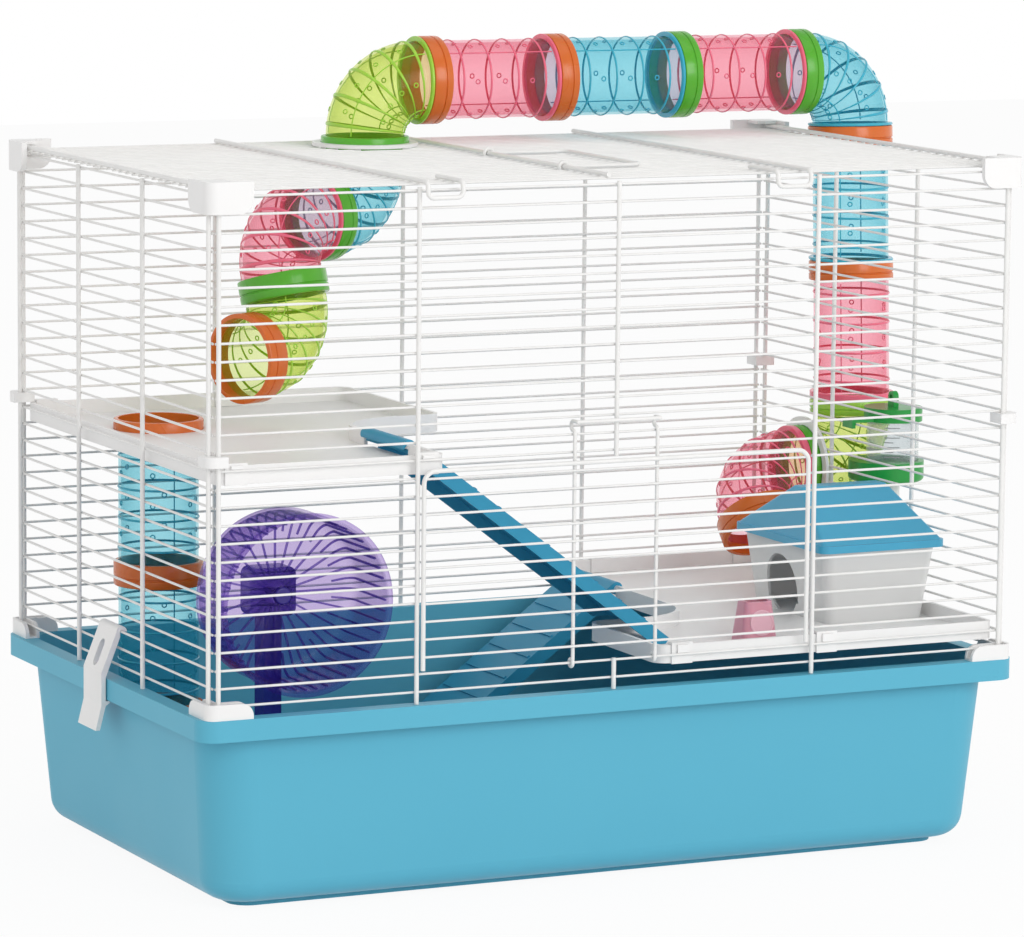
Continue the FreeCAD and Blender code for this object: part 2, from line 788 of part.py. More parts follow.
def corner_rods():
    """The places that the walls' end rods take up, a little wider than the rods."""
    hole = ROD + S["rod_hole_clearance"]
    rods = []
    for sx in SIDES:
        for sy in SIDES:
            for centre in ((sx * LONG_END_ROD, sy * LONG_RODS), (sx * SIDE_RODS, sy * SIDE_END_ROD)):
                rods.append(rod("z", as_size(0), ROD_TOP, centre, hole))
    return rods


def build_caps():
    """The four roof caps: two arms outside the walls and a cover over the roof's corner."""
    half_x = SIDE_RODS + S["corner_standoff"]
    half_y = LONG_RODS + S["corner_standoff"]
    skin = S["corner_standoff"] - ROD - S["corner_clearance"]
    plate_bottom = ROOF_BEARER + ROD + S["corner_clearance"]
    top = plate_bottom + S["cap_plate"]
    bottom = top - S["cap_height"]
    wall = ring_wall("cap_wall", half_x, half_y, skin, bottom, top, S["corner_round"])
    arms = common("cap_arms", wall, corner_blocks(half_x, half_y, S["cap_arm"], bottom, top))
    cover = rounded_plate("cap_cover", (half_x, half_y), plate_bottom, top, S["corner_round"])
    cover_regions = corner_blocks(half_x, half_y, S["cap_plate_reach"], plate_bottom, top)
    sharp = fuse("sharp_caps", [arms, common("cap_covers", cover, cover_regions)])
    ends = end_edges(half_x, half_y, S["cap_arm"], bottom)
    return round_edges("roof_corner_caps", sharp, S["cap_end_round"], ends)


def build_clips():
    """The four mid-height clips that tie the walls' end rods together."""
    half_x = SIDE_RODS + S["corner_standoff"]
    half_y = LONG_RODS + S["corner_standoff"]
    bottom = wall_row(CLIP_ROW - 1) + S["clip_rise"]
    top = bottom + S["clip_height"]
    solid = rounded_plate("clip_plan", (half_x, half_y), bottom, top, S["corner_round"])
    regions = corner_blocks(half_x, half_y, S["clip_arm"], bottom, top)
    return cut("corner_clips", common("clip_blocks", solid, regions), corner_rods())


def build_base_corners():
    """The four base corners: a skin inside and outside the wires, joined by a floor on the rim."""
    half_x = SIDE_RODS + S["base_standoff"]
    half_y = LONG_RODS + S["base_standoff"]
    top = RIM_TOP + S["base_corner_height"]
    skin = S["base_standoff"] - ROD - S["corner_clearance"]
    inner_x = SIDE_WIRES - WIRE - S["corner_clearance"]
    inner_y = LONG_WIRES - WIRE - S["corner_clearance"]
    plate = S["base_corner_plate"]
    floor_top = RIM_TOP + S["base_corner_floor"]
    floor_width = half_x - inner_x + plate
    outer = ring_wall("base_outer", half_x, half_y, skin, RIM_TOP, top, S["corner_round"])
    inner = ring_wall("base_inner", inner_x, inner_y, plate, RIM_TOP, top, plate)
    floor = ring_wall("base_floor", half_x, half_y, floor_width, RIM_TOP, floor_top, S["corner_round"])
    rings = fuse("base_rings", [outer, inner, floor])
    regions = corner_blocks(half_x, half_y, S["base_corner_arm"], RIM_TOP, top)
    ends = end_edges(half_x, half_y, S["base_corner_arm"], top)
    bases = round_edges("base_round", common("base_sharp", rings, regions), S["base_corner_round"], ends)
    return cut("base_corner_feet", bases, corner_rods())


def build_corners():
    """Roof caps, mid-height clips and base corners, each a set of four alike."""
    return {
        "roof_corner_caps": build_caps(),
        "corner_clips": build_clips(),
        "base_corner_feet": build_base_corners(),
    }


def build_latch(side):
    """A side latch: it hooks on a wall wire, passes outside the rim and snaps its nib under the skirt."""
    wire_z = wall_row(LATCH_ROW)
    inner = WIRE + S["latch_clearance"]
    outer = inner + S["latch_hook_wall"]
    body_in = HALF_LENGTH + S["latch_rim_gap"]
    body_out = body_in + S["latch_thickness"]
    shoulder = RIM_TOP + S["latch_rim_gap"]
    nib_top = RIM_BOTTOM - S["latch_nib_clearance"]
    nib_low = nib_top - S["latch_nib_height"]
    tab_low = nib_low - S["latch_tab_drop"]
    tab_out = body_out + S["latch_tab_flare"]
    nib_tip = HALF_LENGTH - S["latch_nib"]
    neck = wire_z - outer
    points = [
        (SIDE_WIRES + outer, wire_z),
        (body_out, shoulder + S["latch_thickness"]),
        (body_out, nib_low),
        (tab_out, tab_low),
        (tab_out - S["latch_thickness"], tab_low),
        (body_in, nib_low),
        (nib_tip, nib_low + S["latch_nib_height"] / 2),
        (nib_tip, nib_top),
        (body_in, nib_top),
        (body_in, shoulder),
        (SIDE_WIRES + inner, neck),
        (SIDE_WIRES + inner, wire_z),
    ]
    start = S["latch_offset"] - S["latch_width"] / 2
    end = start + S["latch_width"]
    label = "right_latch" if side > 0 else "left_latch"
    strap = profile_body(f"{label}_strap", [(side * x, z) for x, z in points], start, S["latch_width"])
    wire = (side * SIDE_WIRES, wire_z)
    ring = cut(f"{label}_ring", rod("y", start, end, wire, outer), [rod("y", start, end, wire, inner)])
    reach = (side * (SIDE_WIRES - outer), side * (SIDE_WIRES + outer))
    below = block(reach, (start, end), (wire_z - outer, wire_z))
    hook = cut(f"{label}_hook", ring, [below])
    middle = S["latch_offset"]
    half_slot = S["latch_slot_width"] / 2
    slot_top = neck - S["latch_thickness"] - half_slot
    slot_low = slot_top - S["latch_slot_height"] + S["latch_slot_width"]
    slot_x = (side * SIDE_WIRES, side * tab_out)
    slot = fuse(f"{label}_slot", [
        block(slot_x, (middle - half_slot, middle + half_slot), (slot_low, slot_top)),
        rod("x", *slot_x, (middle, slot_low), half_slot),
        rod("x", *slot_x, (middle, slot_top), half_slot),
    ])
    return {label: cut(label, fuse(f"{label}_solid", [strap, hook]), [slot])}


class Shelf:
    """An L-shaped platform: a main part at an end wall, and a tongue along a long wall."""

    def __init__(self, end, wall, base, main, tongue, free_edge, ramp_y):
        """Set out the plan; end and wall are -1 or 1 for the end wall and the long wall it follows."""
        self.end = end
        self.wall = wall
        self.base = base
        self.floor = base + S["platform_plate"]
        self.top = base + PLATFORM_HEIGHT
        self.main = main
        self.tongue = tongue
        self.free_edge = free_edge
        self.edge = end * (PLATFORM_END - main)
        self.tip = self.edge - end * tongue
        half_gap = S["ramp_width"] / 2 + S["ramp_play"]
        self.ramp_y = ramp_y
        self.ramp_span = (ramp_y - half_gap, ramp_y + half_gap)
        self.pin = (self.edge + end * S["platform_rim_wall"] / 2, self.top - S["pin_diameter"] / 2)

    def plan(self, label, inset, bottom, top):
        """The whole plan as a block, drawn in by an inset, with a wide curve in its inner corner."""
        end, wall = self.end, self.wall
        wide = S["platform_bend"]
        reach = S["tongue_corner"] + S["platform_rim_wall"]
        main_half = (self.main / 2 - inset, PLATFORM_SIDE - inset)
        main_middle = (end * (PLATFORM_END - self.main / 2), as_size(0))
        tongue_half = (self.tongue / 2 - inset, (PLATFORM_SIDE - wall * self.free_edge) / 2 - inset)
        tongue_middle = (self.edge - end * self.tongue / 2, (wall * PLATFORM_SIDE + self.free_edge) / 2)
        free_edge = self.free_edge + wall * inset
        seam = self.edge + end * inset
        curve_centre = (self.edge - end * wide, self.free_edge - wall * wide)
        heights = (bottom, top)
        corner_fill = block((seam, curve_centre[0]), (free_edge, curve_centre[1]), heights)
        tongue_y = (wall * (PLATFORM_SIDE - inset), free_edge)
        main_corner = S["platform_corner"] - inset
        tongue_corner = S["tongue_corner"] - inset
        return fuse(label, [
            rounded_plate(f"{label}_main", main_half, bottom, top, main_corner, main_middle),
            rounded_plate(f"{label}_tongue", tongue_half, bottom, top, tongue_corner, tongue_middle),
            block((self.edge - reach, self.edge + reach), tongue_y, heights),
            cut(f"{label}_curve", corner_fill, [rod("z", bottom, top, curve_centre, wide + inset)]),
        ])

    def build(self, label, holes=()):
        """The shelf with its raised rim, and a pin across the gap where a ramp hooks on."""
        rim = S["platform_rim_wall"]
        outside = self.plan(f"{label}_outside", as_size(0), self.base, self.top)
        inside = self.plan(f"{label}_inside", rim, self.floor, self.top)
        low, high = self.ramp_span
        gap_half = S["platform_corner"]
        gap = block((self.pin[0] - gap_half, self.pin[0] + gap_half), (low, high), (self.floor, self.top))
        pin = rod("y", low - rim, high + rim, self.pin, S["pin_diameter"] / 2)
        return fuse(label, [cut(f"{label}_tray", outside, [inside, gap, *holes]), pin])


def edge_clip(shelf, seat, side, x):
    """A clip that straddles a platform's rim and rests its lip on a wall wire."""
    rim_out = PLATFORM_SIDE
    rim_in = PLATFORM_SIDE - S["platform_rim_wall"]
    slack = S["clip_slack"]
    wall = S["clip_wall"]
    top = shelf.top + slack
    xs = (x - S["clip_width"] / 2, x + S["clip_width"] / 2)
    lip_x = (x - S["clip_lip_width"] / 2, x + S["clip_lip_width"] / 2)
    low = top + wall - S["clip_depth"]
    inner_face = rim_in - slack - wall
    shell = block(xs, (side * inner_face, side * (rim_out + slack + wall)), (low, top + wall))
    seat_room = block(xs, (side * (rim_in - slack), side * (rim_out + slack)), (low, top))
    floor_room = block(xs, (side * rim_in, side * inner_face), (low, shelf.floor + slack))
    lip_y = (side * (rim_out + slack), side * (LONG_WIRES + WIRE / 2))
    lip = block(lip_x, lip_y, (shelf.top - seat + slack, top))
    return fuse("edge_clip", [cut("clip_shell", shell, [seat_room, floor_room]), lip])


def build_platforms():
    """The two platforms, their clips and their ramps."""
    upper = Shelf(-1, 1, UPPER_BASE, S["upper_main"], S["upper_tongue"], S["upper_tongue_start"],
                  S["upper_ramp_y"])
    lower = Shelf(1, -1, LOWER_BASE, S["lower_main"], S["lower_tongue"], S["lower_tongue_end"],
                  S["lower_ramp_y"])
    column_hole = rod("z", upper.base, upper.top, (S["column_x"], S["column_y"]), RING + S["plate_slack"])

    inset = S["platform_corner"] + S["clip_width"] / 2
    upper_places = (upper.edge - inset, inset - PLATFORM_END)
    lower_places = (lower.tip + S["tongue_corner"] + S["clip_width"] / 2, lower.edge + lower.main / 4)
    lower_back_places = (lower.edge + lower.main / 4, PLATFORM_END - inset)
    upper_clips = [edge_clip(upper, S["upper_seat"], side, x) for side in SIDES for x in upper_places]
    lower_clips = [edge_clip(lower, S["lower_seat"], -1, x) for x in lower_places]
    lower_clips += [edge_clip(lower, S["lower_seat"], 1, x) for x in lower_back_places]

    clear_of_rim = S["platform_rim_wall"] + 2 * S["ramp_play"]
    ledge = (lower.free_edge + lower.wall * clear_of_rim, lower.top + S["ramp_foot_gap"])
    return {
        "upper_platform": upper.build("upper_platform", [column_hole]),
        "lower_platform": lower.build("lower_platform"),
        "upper_platform_clips": group("upper_platform_clips", upper_clips),
        "lower_platform_clips": group("lower_platform_clips", lower_clips),
        "upper_ramp": ramp("upper_ramp", upper, lower.floor, ledge),
        "lower_ramp": ramp("lower_ramp", lower, FLOOR),
    }


def ramp(label, shelf, floor, ledge=None):
    """A ramp that hooks on a platform's pin: a ribbed deck with skirts, cut level where it stands on a floor.

    It is drawn along +X from the pin at its own origin, then turned down by the slope. A ledge gives the
    place across the ramp where a rim starts, and the height at which the ramp is cut to stay over it.
    """
    pin_x, pin_z = shelf.pin
    heading = -shelf.end
    pin_radius = S["pin_diameter"] / 2 + S["pin_clearance"]
    hook_radius = pin_radius + S["pin_hook_wall"]
    drop = pin_z - floor - S["ramp_foot_gap"]
    length = drop / S["ramp_slope"].sin()
    half = S["ramp_width"] / 2
    deck_top = hook_radius
    deck_low = deck_top - S["ramp_deck"]
    skirt_low = deck_top - S["ramp_skirt"]
    wall = S["ramp_skirt_wall"]
    start = S["ramp_start"]
    parts = [
        block((0, length), (-half, half), (deck_low, deck_top), "deck"),
        rod("y", -half, half, (0, 0), hook_radius, "hook"),
    ]
    for side in SIDES:
        skirt_y = (side * half, side * (half - wall))
        parts.append(block((start, length), skirt_y, (skirt_low, deck_top), "skirt"))
    for n in range(RAMP_RIBS):
        x = start + (n + 1) * S["ramp_rib_pitch"]
        ribs = (deck_top, deck_top + S["ramp_rib"] / 2)
        parts.append(block((x, x + S["ramp_rib"]), (wall - half, half - wall), ribs, "rib"))
    bore = rod("y", -half, half, (0, 0), pin_radius, "hook_bore")
    mouth = block((-pin_radius, pin_radius), (-half, half), (-hook_radius, 0), "hook_mouth")
    solid = cut(f"{label}_hooked", fuse(f"{label}_deck", parts), [bore, mouth])
    tilt = FreeCAD.Rotation(FreeCAD.Vector(0, 1, 0), S["ramp_slope"].number)
    turn = FreeCAD.Rotation(FreeCAD.Vector(0, 0, 1), 0 if heading > 0 else 180)
    place(solid, (pin_x, shelf.ramp_y, pin_z), turn.multiply(tilt))
    reach = (pin_x, pin_x + heading * (length + S["ramp_skirt"]))
    near, far = shelf.ramp_y - 2 * half, shelf.ramp_y + 2 * half
    below = [block(reach, (near, far), (floor - drop, floor + S["ramp_foot_gap"]))]
    if ledge:
        ledge_y, ledge_top = ledge
        below.append(block(reach, (ledge_y, far), (floor - drop, ledge_top)))
    return cut(label, solid, below)


def bowl(label, centre, front, back, radius, round_by):
    """A round block along Y with its back edge rounded."""
    solid = rod("y", front, back, centre, radius)
    return round_edges(label, solid, round_by, lambda edge: abs(edge.CenterOfMass.y - back.number) < 0.01)


def wheel_blade(centre, start, end, front, back, share):
    """A thin blade that stands out from the wheel's axis, turned by a share of a full turn."""
    blade = doc.addObject("Part::Box", "wheel_blade")
    thickness = S["wheel_rib"]
    tie(blade, Length=end - start, Width=back - front, Height=thickness)
    return spun(blade, (start, front, -thickness / 2), centre, share)


def build_drum(centre, front, back):
    """The wheel's bowl of shell, front lip and hub, and the ribs that lie inside it."""
    x, z = centre
    wall = S["wheel_wall"]
    plate_front = back - wall
    rim = S["wheel_diameter"] / 2
    outer = rim - S["wheel_lip"]
    inner = outer - wall
    rise = S["wheel_rib_rise"]
    inner_round = S["wheel_round"] - wall
    outside = bowl("wheel_outside", centre, front, back, outer, S["wheel_round"])
    inside = bowl("wheel_inside", centre, front, plate_front, inner, inner_round)
    rib_room = bowl("wheel_rib_room", centre, front, plate_front - rise, inner - rise, inner_round - rise)
    lip_back = front + wall
    lip_hole = rod("y", front, lip_back, centre, inner)
    lip = cut("wheel_lip_ring", rod("y", front, lip_back, centre, rim), [lip_hole])
    hub = doc.addObject("Part::Cone", "wheel_hub")
    hub_radius = S["hub_diameter"] / 2
    tie(hub, Radius1=hub_radius, Radius2=S["hub_tip_diameter"] / 2, Height=S["hub_length"])
    place(hub, (x, plate_front, z), upright_frame((0, -1, 0)))
    clear_of_hub = hub_radius + S["weld_gap"]
    blades = []
    for n in range(WHEEL_RIBS):
        blades.append(wheel_blade(centre, clear_of_hub, inner, lip_back, plate_front, n / WHEEL_RIBS))
        between = (n + 0.5) / WHEEL_RIBS
        blades.append(wheel_blade(centre, S["rung_start"], inner, lip_back, plate_front, between))
    ribs = common("wheel_ribs", cut("wheel_rib_skin", inside, [rib_room]), group("wheel_blades", blades))
    return fuse("wheel_solid", [cut("wheel_shell", outside, [inside]), lip, hub]), ribs


def build_wheel():
    """The exercise wheel: an open bowl on an axle, a hub cap, and a stand on the tray floor."""
    x = S["wheel_x"]
    z = S["wheel_height"]
    centre = (x, z)
    front = S["wheel_front"]
    back = front + S["wheel_depth"]
    hub_front = back - S["wheel_wall"] - S["hub_length"]
    axle = S["axle_diameter"] / 2
    cap_radius = S["hub_cap_diameter"] / 2
    cap_seat = hub_front + S["hub_cap_depth"] / 2
    cap_front = cap_seat - S["hub_cap_depth"]
    shell, ribs = build_drum(centre, front, back)
    drum = cut("wheel_drum", shell, [
        rod("y", hub_front, back, centre, axle + S["axle_clearance"]),
        rod("y", hub_front, cap_seat, centre, cap_radius),
    ])
    cap = round_edges("wheel_hub_cap", rod("y", cap_front, cap_seat, centre, cap_radius),
                      S["hub_cap_depth"] / 3, lambda edge: abs(edge.CenterOfMass.y - cap_front.number) < 0.01)

    block_front = back + S["wheel_gap"]
    block_back = block_front + S["stand_block_depth"]
    depth = (block_front, block_back)
    half_block = S["stand_block"] / 2
    half_post = S["stand_post"] / 2
    head_block = block((x - half_block, x + half_block), depth, (z - half_block, z + half_block))
    head = round_edges("stand_head", head_block, half_block / 3,
                       lambda edge: abs(edge.tangentAt(edge.FirstParameter).y) > 0.9)
    post = block((x - half_post, x + half_post), depth, (FLOOR, z))
    base_half = (S["stand_base_length"] / 2, S["stand_base_width"] / 2)
    base_middle = (x, (block_front + block_back) / 2)
    base_top = FLOOR + S["stand_base_plate"]
    base = rounded_plate("stand_base", base_half, FLOOR, base_top, S["rim_corner"], base_middle)
    pin_end = block_front + S["stand_block_depth"] / 2
    socket = rod("y", block_front, pin_end, centre, axle)
    return {
        "wheel_drum": drum,
        "wheel_ribs": ribs,
        "wheel_hub_cap": cap,
        "wheel_axle": rod("y", cap_seat + S["wheel_gap"], pin_end, centre, axle, "wheel_axle"),
        "wheel_stand": cut("wheel_stand", fuse("stand_solid", [head, post, base]), [socket]),
    }


def spun(item, offset, centre, share):
    """Turn a bar that lies along +X about the wheel's axis by a share of a full turn."""
    angle = 360 * share
    cosine = math.cos(math.radians(angle))
    sine = math.sin(math.radians(angle))
    along, depth, across = (as_size(size) for size in offset)
    x, z = centre
    point = (x + along * cosine - across * sine, depth, z + along * sine + across * cosine)
    return place(item, point, FreeCAD.Rotation(FreeCAD.Vector(0, 1, 0), -angle))


def leaning_block(label, low_half, top_half, bottom, top, corner, middle):
    """A straight-sided block with round upright corners."""
    sharp = frustum(f"{label}_block", low_half, top_half, bottom, top, middle)
    return round_edges(label, sharp, corner, upright)


def build_house():
    """The house: a leaning body with an arched doorway and a hipped roof that lifts off."""
    x = S["house_x"]
    y = S["house_y"]
    middle = (x, y)
    bottom = LOWER_FLOOR
    top = bottom + S["house_height"]
    wall = S["house_wall"]
    corner = S["house_corner"]
    top_half = (S["house_length"] / 2, S["house_depth"] / 2)
    low_half = tuple(half - S["house_lean"] for half in top_half)
    inner_top = tuple(half - wall for half in top_half)
    inner_low = tuple(half - wall for half in low_half)
    outside = leaning_block("house_outside", low_half, top_half, bottom, top, corner, middle)
    inside = leaning_block("house_inside", inner_low, inner_top, bottom, top, corner - wall, middle)
    door_y = y + S["house_door_offset"]
    arch = S["house_door_width"] / 2
    spring = bottom + S["house_door_height"] - arch
    sill = bottom + S["house_door_sill"]
    doorway = [
        block((x - S["house_length"], x), (door_y - arch, door_y + arch), (sill, spring)),
        rod("x", x - S["house_length"], x, (door_y, spring), arch),
    ]
    body = cut("house_body", outside, [inside, *doorway])

    eave_half = tuple(half + S["eave_overhang"] for half in top_half)
    eave_top = top + S["eave_height"]
    ridge = eave_top + S["house_roof_height"]
    slope_half = tuple(half - wall for half in eave_half)
    ridge_half = (S["house_ridge_length"] / 2, S["house_ridge_width"] / 2)
    flange = rounded_plate("house_eave", eave_half, top, eave_top, corner, middle)
    hip_block = frustum("house_hip_block", slope_half, ridge_half, eave_top, ridge, middle)
    above_eave = eave_top.number + wall.number
    hip = round_edges("house_hip", hip_block, corner / 2,
                      lambda edge: edge.Vertexes[0].Point.z > above_eave or upright(edge))
    attic_half = tuple(half - 2 * wall for half in slope_half)
    attic_ridge = tuple(half - wall for half in ridge_half)
    attic = frustum("house_attic", attic_half, attic_ridge, eave_top, ridge - wall, middle)
    lip_drop = S["house_roof_lip"]
    lip_lean = S["house_lean"] * (lip_drop / S["house_height"])
    lip_half = tuple(half - S["house_roof_slack"] - lip_lean for half in inner_top)
    throat_half = tuple(half - wall for half in lip_half)
    lip = rounded_plate("house_lip", lip_half, top - lip_drop, top, corner - wall, middle)
    throat = rounded_plate("house_throat", throat_half, top - lip_drop, eave_top, corner - 2 * wall, middle)
    roof = cut("house_roof", fuse("house_cover", [flange, hip, lip]), [attic, throat])
    return {"house_body": body, "house_roof": roof}


def build_dish():
    """The feeding dish: a small cup with leaning sides."""
    middle = (S["dish_x"], S["dish_y"])
    bottom = LOWER_FLOOR
    top = bottom + S["dish_height"]
    wall = S["dish_wall"]
    corner = S["dish_corner"]
    low_half = (S["dish_length"] / 2, S["dish_width"] / 2)
    top_half = tuple(half - S["dish_lean"] for half in low_half)
    inner_low = tuple(half - wall for half in low_half)
    inner_top = tuple(half - wall for half in top_half)
    outside = leaning_block("dish_outside", low_half, top_half, bottom, top, corner, middle)
    inside = leaning_block("dish_inside", inner_low, inner_top, bottom + wall, top, corner - wall, middle)
    return {"feeding_dish": cut("feeding_dish", outside, [inside])}


def build_bottle():
    """The water bottle on the right wall, its holder and its drinking tube."""
    axis_x = SIDE_RODS + S["bottle_standoff"]
    axis = (axis_x, S["bottle_y"])
    radius = S["bottle_diameter"] / 2
    spout_z = (wall_row(SPOUT_ROW) + wall_row(SPOUT_ROW + 1)) / 2
    cap_low = spout_z + S["boss_drop"]
    cap_top = cap_low + S["cap_depth"]
    body_low = cap_top - S["bottle_seat"]
    holder_low = cap_top + S["bottle_show"]
    holder_top = holder_low + S["holder_depth"]
    body_top = holder_top - S["holder_plate"] - S["bottle_slack"]
    inner = radius - S["bottle_wall"]
    body = cut("bottle_body", rod("z", body_low, body_top, axis, radius),
               [rod("z", body_low, body_top - S["bottle_wall"], axis, inner)])
    seat_radius = radius + S["bottle_slack"]
    cap_axis = (axis_x - S["cap_shift"], S["bottle_y"])
    cap_solid = round_edges("bottle_cap_round", rod("z", cap_low, cap_top, cap_axis, S["cap_diameter"] / 2),
                            S["bottle_seat"], level_at(cap_low))
    boss = S["boss_diameter"] / 2
    cap = cut("bottle_cap", cap_solid, [
        rod("z", body_low - S["bottle_slack"], cap_top, axis, seat_radius),
        rod("z", cap_low, cap_top, axis, boss),
    ])
    tube = S["spout_diameter"] / 2
    tip = SIDE_WIRES - S["spout_reach"]
    boss_low = spout_z - tube - S["bottle_wall"]
    boss_solid = rod("z", boss_low, body_low - S["bottle_slack"], axis, boss)
    spout_socket = rod("x", tip, axis_x, (S["bottle_y"], spout_z), tube)
    boss_bore = rod("z", spout_z, body_low, axis, S["spout_bore"] / 2)
    boss_piece = cut("bottle_boss", boss_solid, [spout_socket, boss_bore])
    ball = S["ball_diameter"] / 2
    bore = rod("x", tip + S["spout_lip"], axis_x, (S["bottle_y"], spout_z), S["spout_bore"] / 2)
    mouth = rod("x", tip, axis_x, (S["bottle_y"], spout_z), ball - S["spout_lip"] / 2)
    drinking = cut("drinking_tube", rod("x", tip, axis_x, (S["bottle_y"], spout_z), tube), [bore, mouth])
    ball_x = tip + ball - S["ball_show"] + S["spout_lip"]
    ball_piece = doc.addObject("Part::Sphere", "spout_ball")
    tie(ball_piece, Radius=ball)
    place(ball_piece, (ball_x, S["bottle_y"], spout_z))

    holder_radius = S["holder_diameter"] / 2
    wire_z = wall_row(HOLDER_ROW)
    arm_low = wire_z + WIRE + S["latch_clearance"]
    arm_top = arm_low + S["holder_arm_height"]
    lip_out = SIDE_WIRES - WIRE - S["latch_clearance"]
    lip_in = lip_out - S["holder_arm_height"]
    arm_y = (S["bottle_y"] - S["holder_arm_width"] / 2, S["bottle_y"] + S["holder_arm_width"] / 2)
    tab_half = S["holder_tab_width"] / 2
    tab_y = (S["bottle_y"] - tab_half, S["bottle_y"] + tab_half)
    tab_x = (axis_x - S["holder_tab_thickness"] / 2, axis_x + S["holder_tab_thickness"] / 2)
    tab_round = holder_top + S["holder_tab_height"] - tab_half
    shell = fuse("holder_solid", [
        rod("z", holder_low, holder_top, axis, holder_radius),
        block((lip_in, axis_x), arm_y, (arm_low, arm_top)),
        block((lip_in, lip_out), arm_y, (arm_top - S["holder_lip_drop"], arm_top)),
        block(tab_x, tab_y, (holder_top, tab_round)),
        rod("x", *tab_x, (S["bottle_y"], tab_round), tab_half),
    ])
    holder = cut("bottle_holder", shell, [
        rod("z", holder_low, holder_top - S["holder_plate"], axis, seat_radius),
        rod("x", *tab_x, (S["bottle_y"], tab_round), S["holder_hole"] / 2),
    ])
    return {
        "bottle_body": body,
        "bottle_cap": cap,
        "bottle_boss": boss_piece,
        "drinking_tube": drinking,
        "spout_ball": ball_piece,
        "bottle_holder": holder,
    }


def along(point, direction, distance):
    """A point moved by a distance in a direction."""
    return tuple(p + distance * d for p, d in zip(point, direction))


def upright_frame(direction):
    """The rotation that turns +Z to a direction."""
    return FreeCAD.Rotation(FreeCAD.Vector(0, 0, 1), FreeCAD.Vector(*direction))


def sleeve(label, start, direction, length, outer, inner):
    """A round tube from a point in a direction."""
    skin = doc.addObject("Part::Cylinder", f"{label}_skin")
    tie(skin, Radius=outer, Height=length)
    hollow = doc.addObject("Part::Cylinder", f"{label}_hollow")
    tie(hollow, Radius=inner, Height=length)
    item = cut(label, skin, [hollow])
    return place(item, start, upright_frame(direction))


def straight_tube(label, joint, direction, collar=None):
    """A straight tube from one joint to the next, with a collar near its far end where it has one."""
    skin = rod("z", S["tube_gap"] / 2, S["tube_pitch"] - S["tube_gap"] / 2, (0, 0), TUBE)
    if collar:
        start = S["tube_pitch"] - HALF_RING
        rim = rod("z", start, start + collar, (0, 0), RING)
        skin = fuse(f"{label}_skin", [skin, rim])
    hollow = rod("z", as_size(0), S["tube_pitch"], (0, 0), BORE)
    item = cut(label, skin, [hollow])
    return place(item, joint, upright_frame(direction))


def elbow_tube(label, joint, arriving, leaving, collars=()):
    """A quarter-turn tube that starts at a joint in one direction and leaves in another.

    It is drawn about its turning centre, from its first end along Y to its last end along X. Each
    collar is given as the letter of its end and its length.
    """
    short_end = S["elbow_end"] - S["tube_gap"] / 2
    centre_line = (S["elbow_radius"], as_size(0))

    def core(radius):
        turn = doc.addObject("Part::Torus", f"{label}_turn")
        turn.Angle3 = 90
        tie(turn, Radius1=S["elbow_radius"], Radius2=radius)
        return [turn, *(rod(axis, -short_end, as_size(0), centre_line, radius) for axis in "yx")]

    collar_end = HALF_RING - S["elbow_end"]
    rims = [rod(axis, collar_end - long, collar_end, centre_line, RING) for axis, long in collars]
    item = cut(label, fuse(f"{label}_skin", core(TUBE) + rims), [fuse(f"{label}_hollow", core(BORE))])
    centre = along(along(joint, arriving, S["elbow_end"]), leaving, S["elbow_radius"])
    backwards = tuple(-d for d in leaving)
    return place(item, centre, frame_of(backwards, arriving))


def coupling_ring(joint, direction, collar=None):
    """A ring over a joint, shorter at its start where a tube's collar sits."""
    start = collar + S["ring_slack"] if collar else as_size(0)
    point = along(joint, direction, start - HALF_RING)
    return sleeve("ring", point, direction, S["ring_length"] - start, RING, TUBE + S["ring_slack"])


def mount_plate(label, point, direction):
    """A round plate with a hole for a ring."""
    hole = RING + S["plate_slack"]
    return sleeve(label, point, direction, S["plate_thickness"], S["plate_diameter"] / 2, hole)


